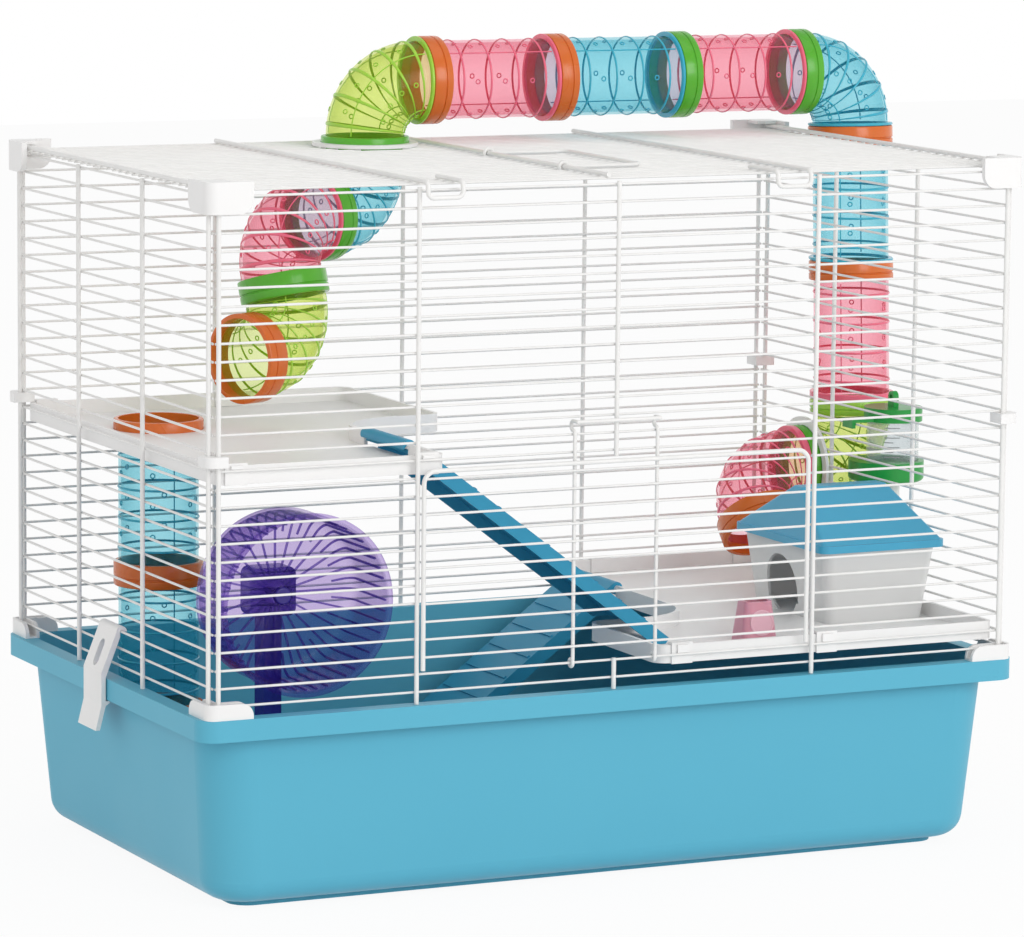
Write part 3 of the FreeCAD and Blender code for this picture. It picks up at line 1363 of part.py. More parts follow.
def build_tubes():
    """The tube run: bridge, drop, landing, hanging run and column, with their rings and plates."""
    right = (1, 0, 0)
    left = (-1, 0, 0)
    up = (0, 0, 1)
    down = (0, 0, -1)
    pitch = S["tube_pitch"]
    roof_joint = (S["run_x"], S["run_y"], ROOF_JOINT)
    bridge = [(BRIDGE_START + n * pitch, S["run_y"], RUN_AXIS) for n in range(4)]
    lean = math.radians(S["drop_lean"].number)
    leaning = (0, -math.sin(lean), -math.cos(lean))
    drop_start = along(along(bridge[3], right, ELBOW_REACH), leaning, ELBOW_REACH)
    drop = [along(drop_start, leaning, n * pitch) for n in range(3)]
    wall_joint = (WALL_JOINT, WALL_Y, WALL_AXIS)
    turned = math.radians(S["landing_turn"].number)
    landing_down = (0, -math.sin(turned), -math.cos(turned))
    landing = along(along(wall_joint, left, ELBOW_REACH), landing_down, ELBOW_REACH)

    heading = math.radians(S["hanging_heading"].number)
    tilt = math.radians(S["hanging_tilt"].number)
    outward = (-math.cos(heading), -math.sin(heading), 0)
    tilted_down = (math.sin(tilt) * math.sin(heading), -math.sin(tilt) * math.cos(heading), -math.cos(tilt))
    first = along(along(roof_joint, down, ELBOW_REACH), outward, ELBOW_REACH)
    second = along(along(first, outward, ELBOW_REACH), tilted_down, ELBOW_REACH)
    third = along(along(second, tilted_down, ELBOW_REACH), outward, ELBOW_REACH)

    column_top = UPPER_BASE + S["platform_plate"] - S["column_drop"]
    column = [(S["column_x"], S["column_y"], column_top - n * pitch) for n in range(3)]
    column_end = along(along(column[2], down, ELBOW_REACH), right, ELBOW_REACH)

    roof_plate_at = (S["run_x"], S["run_y"], ROOF_WIRES + WIRE + S["corner_clearance"])
    wall_plate_at = (SIDE_WIRES - WIRE - S["corner_clearance"] - S["plate_thickness"], WALL_Y, WALL_AXIS)
    inward = tuple(-d for d in outward)
    thin, wide = S["collar_length"], S["wide_collar"]
    at_start, at_end = ("y", thin), ("x", thin)
    rings = {
        "bridge_orange_rings": [coupling_ring(j, right, thin) for j in bridge[:2]],
        "bridge_green_rings": [coupling_ring(j, right, thin) for j in bridge[2:]],
        "drop_rings": [coupling_ring(j, leaning, thin) for j in drop[:2]],
        "drop_end_ring": [coupling_ring(drop[2], leaning, wide)],
        "roof_ring": [coupling_ring(roof_joint, up)],
        "wall_ring": [coupling_ring(wall_joint, right, wide)],
        "landing_end_ring": [coupling_ring(landing, landing_down)],
        "hanging_rings": [coupling_ring(first, inward, thin), coupling_ring(second, tilted_down)],
        "hanging_end_ring": [coupling_ring(third, outward)],
        "column_rings": [*(coupling_ring(j, down) for j in column), coupling_ring(column_end, right)],
    }
    return {
        "bridge_left_elbow": elbow_tube("bridge_left_elbow", roof_joint, up, right, [at_end]),
        "bridge_left_tube": straight_tube("bridge_left_tube", bridge[0], right, thin),
        "bridge_middle_tube": straight_tube("bridge_middle_tube", bridge[1], right, thin),
        "bridge_right_tube": straight_tube("bridge_right_tube", bridge[2], right, thin),
        "bridge_right_elbow": elbow_tube("bridge_right_elbow", bridge[3], right, leaning, [at_end]),
        "drop_upper_tube": straight_tube("drop_upper_tube", drop[0], leaning, thin),
        "drop_lower_tube": straight_tube("drop_lower_tube", drop[1], leaning, wide),
        "drop_elbow": elbow_tube("drop_elbow", drop[2], leaning, left),
        "landing_elbow": elbow_tube("landing_elbow", wall_joint, left, landing_down, [("y", wide)]),
        "hanging_first_elbow": elbow_tube("hanging_first_elbow", roof_joint, down, outward),
        "hanging_second_elbow": elbow_tube("hanging_second_elbow", first, outward, tilted_down, [at_start]),
        "hanging_third_elbow": elbow_tube("hanging_third_elbow", second, tilted_down, outward),
        "column_upper_tube": straight_tube("column_upper_tube", column[0], down),
        "column_lower_tube": straight_tube("column_lower_tube", column[1], down),
        "column_foot_elbow": elbow_tube("column_foot_elbow", column[2], down, right),
        **{label: group(label, items) for label, items in rings.items()},
        "roof_tube_plate": mount_plate("roof_tube_plate", roof_plate_at, up),
        "wall_tube_plate": mount_plate("wall_tube_plate", wall_plate_at, right),
    }


def faults(parts):
    """Names of document objects and sub-parts that failed."""
    bad = [item.Name for item in doc.Objects if {"Invalid", "Error"} & set(item.State)]
    bad += [label for label, item in parts.items() if item.Shape.isNull() or not item.Shape.isValid()]
    return bad


def main():
    """Build every sub-part, check it and write its file."""
    parts = {
        **build_tray(),
        **build_walls(),
        **build_door(),
        **build_roof(),
        **build_handle(),
        **build_corners(),
        **build_latch(-1),
        **build_latch(1),
        **build_platforms(),
        **build_wheel(),
        **build_house(),
        **build_dish(),
        **build_bottle(),
        **build_tubes(),
    }
    doc.recompute()
    for label, item in parts.items():
        item.Label = label
    bad = faults(parts)
    if bad:
        raise RuntimeError(f"failed: {bad}")
    os.makedirs("parts", exist_ok=True)
    for label, item in parts.items():
        item.Shape.exportStep(f"parts/{label}.step")
        solids = item.Shape.Solids
        print(f"{label}: {len(solids)} solids, {sum(s.Volume for s in solids) / 1000:.2f} cm3")


main()
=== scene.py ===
"""Looks of the rodent cage: finishes, moulded detail, floor, light and camera.

Lengths in the classes are millimetres in the part's own frame. Meshes are scaled to metres when they are
made into objects.
"""

import logging
import math
from dataclasses import dataclass, field
from enum import Enum
from typing import Any, Protocol, Sequence

import bmesh
import bpy
from mathutils import Matrix, Vector


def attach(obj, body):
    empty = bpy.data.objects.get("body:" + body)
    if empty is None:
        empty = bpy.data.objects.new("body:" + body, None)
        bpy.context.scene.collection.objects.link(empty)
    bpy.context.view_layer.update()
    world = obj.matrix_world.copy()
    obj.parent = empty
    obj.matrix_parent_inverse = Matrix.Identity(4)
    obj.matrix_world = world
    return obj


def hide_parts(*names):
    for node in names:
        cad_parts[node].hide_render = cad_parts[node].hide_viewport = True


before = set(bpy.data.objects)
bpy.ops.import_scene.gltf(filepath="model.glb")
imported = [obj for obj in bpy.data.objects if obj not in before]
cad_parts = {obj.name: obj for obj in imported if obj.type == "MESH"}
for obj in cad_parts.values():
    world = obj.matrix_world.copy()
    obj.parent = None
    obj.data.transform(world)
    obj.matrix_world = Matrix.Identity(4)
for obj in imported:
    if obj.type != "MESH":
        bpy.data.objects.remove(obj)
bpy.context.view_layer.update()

MM = 0.001
FULL_TURN = 2 * math.pi
# Edges that turn by more than this stay crisp.
SHARP_DEGREES = 35.0
# Face indices of a tube's two finishes.
WALL_FACES = 0
RIB_FACES = 1
log = logging.getLogger("rodent_cage")


def linear(hex_colour: str) -> tuple[float, float, float, float]:
    """Turn an sRGB hex colour into linear light.

    Args:
        hex_colour: Six hex digits after a hash.

    Returns:
        Red, green, blue and a full alpha.
    """
    channels = [int(hex_colour[n:n + 2], 16) / 255 for n in (1, 3, 5)]
    red, green, blue = (c / 12.92 if c <= 0.04045 else ((c + 0.055) / 1.055) ** 2.4 for c in channels)
    return red, green, blue, 1.0


def add_node(tree: bpy.types.NodeTree, kind: str, inputs: dict[Any, Any] | None = None,
             **settings: Any) -> bpy.types.Node:
    """Add a node with its settings and links.

    Args:
        tree: Node tree of a material or of the world.
        kind: Node type.
        inputs: Values or output sockets by input name or index.
        settings: Attributes of the node.

    Returns:
        The new node.
    """
    node = tree.nodes.new(kind)
    for name, value in settings.items():
        setattr(node, name, value)
    for key, value in (inputs or {}).items():
        if isinstance(value, bpy.types.NodeSocket):
            tree.links.new(value, node.inputs[key])
        else:
            node.inputs[key].default_value = value
    return node


def new_tree(name: str) -> tuple[bpy.types.Material, bpy.types.NodeTree]:
    """Make an empty node material.

    Args:
        name: Name of the material.

    Returns:
        The material and its node tree.
    """
    material = bpy.data.materials.new(name)
    material.use_nodes = True
    material.node_tree.nodes.clear()
    return material, material.node_tree


def put_in_scene(name: str, data: bpy.types.ID) -> bpy.types.Object:
    """Make an object of a mesh, a camera or a lamp and link it to the scene.

    Args:
        name: Name of the object.
        data: Its mesh, camera or lamp.

    Returns:
        The object.
    """
    made = bpy.data.objects.new(name, data)
    bpy.context.scene.collection.objects.link(made)
    return made


@dataclass(frozen=True)
class MouldedPlastic:
    """Opaque injection-moulded plastic with a fine spark-eroded grain.

    Attributes:
        name: Name of the material.
        colour: Colour of the pigment.
        flow: Slightly different colour of the slow swirls that the melt leaves.
        roughness: Mean roughness.
        grain_mm: Width of the grain, drawn coarser than the real 0.2 mm so that it shows.
        grain_depth_mm: Height of the grain.
        flow_mm: Width of the swirls.
        sheen_through: Share of light that soaks into the plastic and leaves it again.
        gloss: Strength of the surface reflection.
        soak_mm: How far the light that soaks in travels.
    """

    name: str
    colour: str
    flow: str
    roughness: float = 0.38
    grain_mm: float = 1.4
    grain_depth_mm: float = 0.05
    flow_mm: float = 70.0
    sheen_through: float = 0.0
    gloss: float = 0.5
    soak_mm: float = 2.0

    def material(self) -> bpy.types.Material:
        """Make the material: a swirled pigment, a fine grain and a roughness that drifts with the swirl.

        Returns:
            The material.
        """
        material, tree = new_tree(self.name)
        place = add_node(tree, "ShaderNodeTexCoord").outputs["Object"]
        swirl = add_node(tree, "ShaderNodeTexNoise", {
            "Vector": place, "Scale": 1 / (self.flow_mm * MM), "Detail": 2.0, "Distortion": 0.6})
        grain = add_node(tree, "ShaderNodeTexNoise", {
            "Vector": place, "Scale": 1 / (self.grain_mm * MM), "Detail": 1.0})
        colour = add_node(tree, "ShaderNodeMix", {
            0: swirl.outputs["Fac"], 6: linear(self.colour), 7: linear(self.flow)}, data_type="RGBA")
        rough = add_node(tree, "ShaderNodeMapRange", {
            "Value": swirl.outputs["Fac"], "From Min": 0.3, "From Max": 0.7,
            "To Min": self.roughness - 0.04, "To Max": self.roughness + 0.05})
        bump = add_node(tree, "ShaderNodeBump", {
            "Height": grain.outputs["Fac"], "Distance": self.grain_depth_mm * MM, "Strength": 0.35})
        shader = add_node(tree, "ShaderNodeBsdfPrincipled", {
            "Base Color": colour.outputs[2], "Roughness": rough.outputs["Result"],
            "Normal": bump.outputs["Normal"], "IOR": 1.49, "Subsurface Weight": self.sheen_through,
            "Subsurface Scale": self.soak_mm * MM, "Specular IOR Level": self.gloss})
        add_node(tree, "ShaderNodeOutputMaterial", {"Surface": shader.outputs["BSDF"]})
        return material


@dataclass(frozen=True)
class PowderCoat:
    """Steel wire with a baked powder coat, whose film dries with a faint orange peel.

    Attributes:
        name: Name of the material.
        colour: Colour of the coat.
        thin: Colour where the film is thinner.
        roughness: Mean roughness.
        peel_mm: Width of the orange peel's dimples.
        peel_depth_mm: Depth of the dimples.
        film_mm: Length over which the film's thickness drifts.
    """

    name: str
    colour: str
    thin: str
    roughness: float = 0.32
    peel_mm: float = 1.6
    peel_depth_mm: float = 0.04
    film_mm: float = 18.0

    def material(self) -> bpy.types.Material:
        """Make the material: film thickness drifts along the wire, and the peel dimples the gloss.

        Returns:
            The material.
        """
        material, tree = new_tree(self.name)
        place = add_node(tree, "ShaderNodeTexCoord").outputs["Object"]
        film = add_node(tree, "ShaderNodeTexNoise", {
            "Vector": place, "Scale": 1 / (self.film_mm * MM), "Detail": 2.0})
        peel = add_node(tree, "ShaderNodeTexNoise", {
            "Vector": place, "Scale": 1 / (self.peel_mm * MM), "Detail": 0.0})
        colour = add_node(tree, "ShaderNodeMix", {
            0: film.outputs["Fac"], 6: linear(self.colour), 7: linear(self.thin)}, data_type="RGBA")
        rough = add_node(tree, "ShaderNodeMapRange", {
            "Value": film.outputs["Fac"],
            "To Min": self.roughness - 0.06, "To Max": self.roughness + 0.06})
        bump = add_node(tree, "ShaderNodeBump", {
            "Height": peel.outputs["Fac"], "Distance": self.peel_depth_mm * MM, "Strength": 0.3})
        shader = add_node(tree, "ShaderNodeBsdfPrincipled", {
            "Base Color": colour.outputs[2], "Roughness": rough.outputs["Result"],
            "Normal": bump.outputs["Normal"], "IOR": 1.5})
        add_node(tree, "ShaderNodeOutputMaterial", {"Surface": shader.outputs["BSDF"]})
        return material


@dataclass(frozen=True)
class ClearPlastic:
    """Tinted see-through polystyrene: it passes its own colour, and more of it at a glancing angle.

    Attributes:
        name: Name of the material.
        seen: Colour of a white ground seen through the whole piece.
        body: Colour of the light that the plastic itself scatters back.
        crossings: Surfaces that a look through the whole piece crosses.
        haze: Share of the plastic's own scattered light, seen straight on.
        edge_haze: The same at a glancing angle.
        roughness: Roughness of the polished surface.
        ripple_mm: Width of the faint waves in the surface.
        ripple_depth_mm: Height of the waves.
        deepening: Power by which the tint deepens at a glancing angle.
        least: Smallest share of a colour that still passes.
    """

    name: str
    seen: str
    body: str
    crossings: int = 4
    haze: float = 0.06
    edge_haze: float = 0.34
    roughness: float = 0.12
    ripple_mm: float = 14.0
    ripple_depth_mm: float = 0.25
    deepening: float = 1.6
    least: float = 0.004

    def material(self) -> bpy.types.Material:
        """Make the material: a tinted clear film under a polished skin, deeper towards the outline.

        Returns:
            The material.
        """
        material, tree = new_tree(self.name)
        place = add_node(tree, "ShaderNodeTexCoord").outputs["Object"]
        ripple = add_node(tree, "ShaderNodeTexNoise", {
            "Vector": place, "Scale": 1 / (self.ripple_mm * MM), "Detail": 1.0})
        facing = add_node(tree, "ShaderNodeLayerWeight", {"Blend": 0.28}).outputs["Facing"]
        whole = linear(self.seen)
        once = tuple(max(c, self.least) ** (1 / self.crossings) for c in whole[:3])
        deep = tuple(c ** self.deepening for c in once)
        tint = add_node(tree, "ShaderNodeMix", {
            0: facing, 6: (*once, 1), 7: (*deep, 1)}, data_type="RGBA")
        share = add_node(tree, "ShaderNodeMapRange", {
            "Value": facing, "To Min": self.haze, "To Max": self.edge_haze})
        bump = add_node(tree, "ShaderNodeBump", {
            "Height": ripple.outputs["Fac"], "Distance": self.ripple_depth_mm * MM, "Strength": 0.2})
        rough = add_node(tree, "ShaderNodeMapRange", {
            "Value": ripple.outputs["Fac"],
            "To Min": self.roughness - 0.04, "To Max": self.roughness + 0.04})
        film = add_node(tree, "ShaderNodeBsdfTransparent", {"Color": tint.outputs[2]})
        skin = add_node(tree, "ShaderNodeBsdfPrincipled", {
            "Base Color": linear(self.body), "Roughness": rough.outputs["Result"],
            "Normal": bump.outputs["Normal"], "IOR": 1.59, "Coat Weight": 0.6, "Coat Roughness": 0.06})
        mixed = add_node(tree, "ShaderNodeMixShader", {
            0: share.outputs["Result"], 1: film.outputs["BSDF"], 2: skin.outputs["BSDF"]})
        add_node(tree, "ShaderNodeOutputMaterial", {"Surface": mixed.outputs["Shader"]})
        return material


@dataclass(frozen=True)
class DrawnSteel:
    """Stainless tube drawn through a die, with fine lines along it.

    Attributes:
        name: Name of the material.
        colour: Colour of the metal.
        roughness: Mean roughness.
        line_mm: Spacing of the drawing lines, coarser than the real ones so that they show.
        line_ratio: Length of a line over that spacing.
    """

    name: str
    colour: str
    roughness: float = 0.24
    line_mm: float = 0.5
    line_ratio: float = 25.0

    def material(self) -> bpy.types.Material:
        """Make the material: bright metal whose gloss is broken by lines along X.

        Returns:
            The material.
        """
        material, tree = new_tree(self.name)
        place = add_node(tree, "ShaderNodeTexCoord").outputs["Object"]
        stretch = add_node(tree, "ShaderNodeMapping", {
            "Vector": place, "Scale": (1 / self.line_ratio, 1, 1)})
        lines = add_node(tree, "ShaderNodeTexNoise", {
            "Vector": stretch.outputs["Vector"], "Scale": 1 / (self.line_mm * MM), "Detail": 1.0})
        rough = add_node(tree, "ShaderNodeMapRange", {
            "Value": lines.outputs["Fac"],
            "To Min": self.roughness - 0.08, "To Max": self.roughness + 0.1})
        shader = add_node(tree, "ShaderNodeBsdfPrincipled", {
            "Base Color": linear(self.colour), "Metallic": 1.0, "Roughness": rough.outputs["Result"]})
        add_node(tree, "ShaderNodeOutputMaterial", {"Surface": shader.outputs["BSDF"]})
        return material


class Look(Enum):
    """The finishes of the cage, by the record's slot or by the moulded detail that they dress."""

    # Thick satin polypropylene: an even colour under broad, soft highlights.
    TRAY = MouldedPlastic("polypropylene_moulded_tray_blue", "#60B4CD", "#5CB0CA", 0.4,
                          flow_mm=160, gloss=0.22)
    # A baked coat on wire: one soft bright line along each wire, broken by the orange peel.
    WIRE = PowderCoat("steel_wire_powder_coated_white", "#EFEEEC", "#E3E2E0")
    # White polypropylene: chalky, with a faint grain in its highlights.
    WHITE = MouldedPlastic("polypropylene_moulded_white", "#F1F0EF", "#EBEAE9", 0.4)
    # Blue polypropylene, deeper than the tray and a little glossier. The ramps take a darker copy of the
    # roof's blue as painted shade.
    RAMP = MouldedPlastic("polypropylene_moulded_ramp_blue_painted_shade", "#3699BD", "#3294B8", 0.4, gloss=0.3)
    HOUSE_ROOF = MouldedPlastic("polypropylene_moulded_roof_blue", "#46A8CC", "#41A3C7", 0.34)
    # Milky polypropylene: mostly its own white, with a little of what lies behind.
    HOUSE = ClearPlastic("polypropylene_moulded_milky_white", "#F4F4F2", "#F1F1F0", 2, 0.7, 0.9, 0.3)
    # Clear purple polystyrene: pale face on, darker towards the outline and in the ribs.
    WHEEL = ClearPlastic("polystyrene_moulded_clear_purple", "#D3C2E9", "#5A41B8", 2, 0.08, 0.46, 0.15)
    RIB = ClearPlastic("polystyrene_moulded_thick_purple", "#A08BD3", "#5A46B4", 2, 0.2, 0.45, 0.2)
    # Solid purple polypropylene: dark and satin.
    HUB = MouldedPlastic("polypropylene_moulded_hub_purple", "#3A2C8C", "#34277F", 0.35)
    # Clear tinted tube walls, and the same plastic where it is thick enough to look solid.
    LIME = ClearPlastic("polystyrene_moulded_clear_lime", "#E6F093", "#B9DF4C")
    LIME_RIB = MouldedPlastic("polystyrene_moulded_thick_lime", "#A2D243", "#9ACB3C", 0.2,
                              sheen_through=0.2)
    PINK = ClearPlastic("polystyrene_moulded_clear_pink", "#FFBECB", "#F67C93")
    PINK_RIB = MouldedPlastic("polystyrene_moulded_thick_pink", "#EF708A", "#E9667F", 0.2,
                              sheen_through=0.2)
    CYAN = ClearPlastic("polystyrene_moulded_clear_cyan", "#A8E6F1", "#4FC3D8")
    CYAN_RIB = MouldedPlastic("polystyrene_moulded_thick_cyan", "#38AEC7", "#31A6BF", 0.2,
                              sheen_through=0.2)
    # Thick polystyrene rings: strong colour, sharp highlights, a slight glow inside.
    ORANGE = MouldedPlastic("polystyrene_moulded_ring_orange", "#D86C24", "#CF651F", 0.24,
                            sheen_through=0.15)
    GREEN = MouldedPlastic("polystyrene_moulded_ring_green", "#58B02A", "#50A725", 0.24,
                           sheen_through=0.15)
    # Clear polycarbonate: seen by its edges and highlights.
    BOTTLE = ClearPlastic("polycarbonate_moulded_clear", "#E9EEF0", "#DDE4E8", 4, 0.12, 0.5, 0.08)
    # Glossy green polypropylene of the bottle's cap and holder.
    BOTTLE_GREEN = MouldedPlastic("polypropylene_moulded_bottle_green", "#179A3C", "#139035", 0.3)
    # Glossy pink polystyrene, and its paler pad.
    DISH = MouldedPlastic("polystyrene_moulded_dish_pink", "#D99BAB", "#D28FA1", 0.26,
                          sheen_through=0.2)
    DISC = MouldedPlastic("polystyrene_moulded_disc_pale", "#E7B9C5", "#E2AEBD", 0.3)
    # Drawn stainless steel: bright, with highlights drawn out along the tube.
    STEEL = DrawnSteel("stainless_steel_drawn", "#C9CCCE")
    # Thick clear purple polystyrene: nearly solid.
    STAND = ClearPlastic("polystyrene_moulded_clear_stand", "#7A64C0", "#43329A", 2, 0.3, 0.7, 0.2)
    # Pad-printed ink: flat grey.
    INK = MouldedPlastic("ink_pad_printed_grey", "#9A9C9E", "#929496", 0.5)


class Workshop:
    """Keeps the materials that are made once, and turns mesh parts into riding pieces."""

    def __init__(self) -> None:
        """Start with no material made."""
        self.made: dict[Look, bpy.types.Material] = {}

    def material(self, look: Look) -> bpy.types.Material:
        """Give a finish's material, made at its first use.

        Args:
            look: Finish.

        Returns:
            The material.
        """
        if look not in self.made:
            self.made[look] = look.value.material()
        return self.made[look]

    def dress(self, node: str, look: Look) -> None:
        """Give a node of the frame its finish.

        Args:
            node: Name of the node.
            look: Finish.
        """
        mesh_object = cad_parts[node]
        mesh_object.data.materials.clear()
        mesh_object.data.materials.append(self.material(look))
        log.info("dressed %s with %s", node, look.value.name)

    def piece(self, name: str, shape: "Shape", looks: Sequence[Look], slot: str, body: str = "cage",
              replaced: Sequence[str] = ()) -> None:
        """Turn a shape into an object that rides on a body.

        Args:
            name: Name of the piece.
            shape: Mesh parts in millimetres.
            looks: Finishes in the order of the shape's face indices.
            slot: Slot of the record for the piece; not used.
            body: Body that the piece rides on.
            replaced: Nodes that the piece stands for.
        """
        mesh = bpy.data.meshes.new(name)
        shape.write(mesh)
        for look in looks:
            mesh.materials.append(self.material(look))
        piece = put_in_scene(name, mesh)
        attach(piece, body)
        if replaced:
            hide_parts(*replaced)
        log.info("piece %s rides on %s, faces %d", name, body, len(mesh.polygons))


class Shape:
    """Mesh parts in millimetres that become one object."""

    def __init__(self) -> None:
        """Start with an empty mesh."""
        self.mesh = bmesh.new()

    def skin(self, rows: Sequence[Sequence[Vector]], look: int = 0, joined: bool = False) -> None:
        """Cover rows of points with faces; each row is a closed loop.

        Args:
            rows: Loops of the same number of points.
            look: Index of the finish.
            joined: Join the last row to the first instead of closing both ends.
        """
        loops = [[self.mesh.verts.new(p) for p in row] for row in rows]
        pairs = list(zip(loops, loops[1:]))
        if joined:
            pairs.append((loops[-1], loops[0]))
        count = len(loops[0])
        for low, high in pairs:
            for n in range(count):
                after = (n + 1) % count
                self.face((low[n], low[after], high[after], high[n]), look)
        if not joined:
            self.face(tuple(reversed(loops[0])), look)
            self.face(tuple(loops[-1]), look)

    def face(self, corners: tuple[bmesh.types.BMVert, ...], look: int) -> None:
        """Add one face with its finish."""
        self.mesh.faces.new(corners).material_index = look

    def turn(self, line: "CentreLine", profile: Sequence[tuple[float, float]], sides: int,
             look: int = 0) -> None:
        """Sweep a closed profile round a centre line.

        Args:
            line: Centre line.
            profile: Corners as distance along the line and distance from it.
            sides: Points round the line.
            look: Index of the finish.
        """
        angles = [FULL_TURN * n / sides for n in range(sides)]
        rows = []
        for (start, first), (end, last) in zip(profile, [*profile[1:], profile[0]]):
            for place in line.stations(start, end)[:-1]:
                share = 0.0 if start == end else (place - start) / (end - start)
                radius = first + (last - first) * share
                rows.append([line.point(place, angle, radius) for angle in angles])
        self.skin(rows, look, joined=True)

    def write(self, mesh: bpy.types.Mesh) -> None:
        """Put the parts into a mesh in metres, with smooth faces and crisp edges.

        Args:
            mesh: Mesh to fill.
        """
        bmesh.ops.recalc_face_normals(self.mesh, faces=self.mesh.faces)
        bmesh.ops.scale(self.mesh, vec=(MM, MM, MM), verts=self.mesh.verts)
        self.mesh.to_mesh(mesh)
        self.mesh.free()
        mesh.polygons.foreach_set("use_smooth", [True] * len(mesh.polygons))
        mesh.set_sharp_from_angle(angle=math.radians(SHARP_DEGREES))


class CentreLine(Protocol):
    """The line that a tube follows."""

    length: float

    def point(self, along: float, angle: float, radius: float) -> Vector:
        """A point beside the line."""

    def stations(self, start: float, end: float) -> list[float]:
        """Distances between two ends at which a wall needs a row of points."""


@dataclass(frozen=True)
class StraightLine:
    """A straight centre line.

    Attributes:
        start: First joint.
        heading: Direction of the line.
        side: Direction at angle 0 round the line.
        length: Distance to the next joint.
    """

    start: Vector
    heading: Vector
    side: Vector
    length: float

    def point(self, along: float, angle: float, radius: float) -> Vector:
        """Give a point beside the line.

        Args:
            along: Distance from the first joint.
            angle: Angle round the line.
            radius: Distance from the line.

        Returns:
            The point.
        """
        across = self.heading.cross(self.side)
        outward = self.side * math.cos(angle) + across * math.sin(angle)
        return self.start + self.heading * along + outward * radius

    def stations(self, start: float, end: float) -> list[float]:
        """Give the two ends, which are enough on a straight line."""
        return [start, end]


@dataclass(frozen=True)
class BentLine:
    """A quarter turn between two short straight ends.

    Attributes:
        start: First joint.
        heading: Direction at the first joint.
        leaving: Direction at the last joint.
        radius: Radius of the turn.
        end: Length of each straight end.
        steps: Rows of points in the turn.
    """

    start: Vector
    heading: Vector
    leaving: Vector
    radius: float
    end: float
    steps: int = 18

    @property
    def turn_length(self) -> float:
        """Length of the turn on the centre line."""
        return self.radius * math.pi / 2

    @property
    def length(self) -> float:
        """Length of the whole centre line."""
        return self.turn_length + 2 * self.end

    def point(self, along: float, angle: float, radius: float) -> Vector:
        """Give a point beside the line; angle 0 is on the outside of the turn.

        Args:
            along: Distance from the first joint.
            angle: Angle round the line.
            radius: Distance from the line.

        Returns:
            The point.
        """
        turned = min(max((along - self.end) / self.radius, 0.0), math.pi / 2)
        before = min(along, self.end)
        after = max(along - self.end - self.turn_length, 0.0)
        centre = self.start + self.heading * self.end + self.leaving * self.radius
        outward = self.heading * math.sin(turned) - self.leaving * math.cos(turned)
        on_line = centre + outward * self.radius
        on_line += self.heading * (before - self.end) + self.leaving * after
        across = self.heading.cross(self.leaving)
        return on_line + (outward * math.cos(angle) + across * math.sin(angle)) * radius

    def stations(self, start: float, end: float) -> list[float]:
        """Give the distances at which the turn needs a row of points.

        Args:
            start: First distance.
            end: Last distance.

        Returns:
            Distances from start to end, in that order.
        """
        places = [self.end + self.turn_length * n / self.steps for n in range(self.steps + 1)]
        low, high = min(start, end), max(start, end)
        apart = 0.01
        inside = [low, *(p for p in places if low + apart < p < high - apart), high]
        return inside if start <= end else inside[::-1]


class Tint(Enum):
    """The three colours of tube: wall, rib and slot."""

    LIME = (Look.LIME, Look.LIME_RIB, "tube_lime")
    PINK = (Look.PINK, Look.PINK_RIB, "tube_pink")
    CYAN = (Look.CYAN, Look.CYAN_RIB, "tube_cyan")


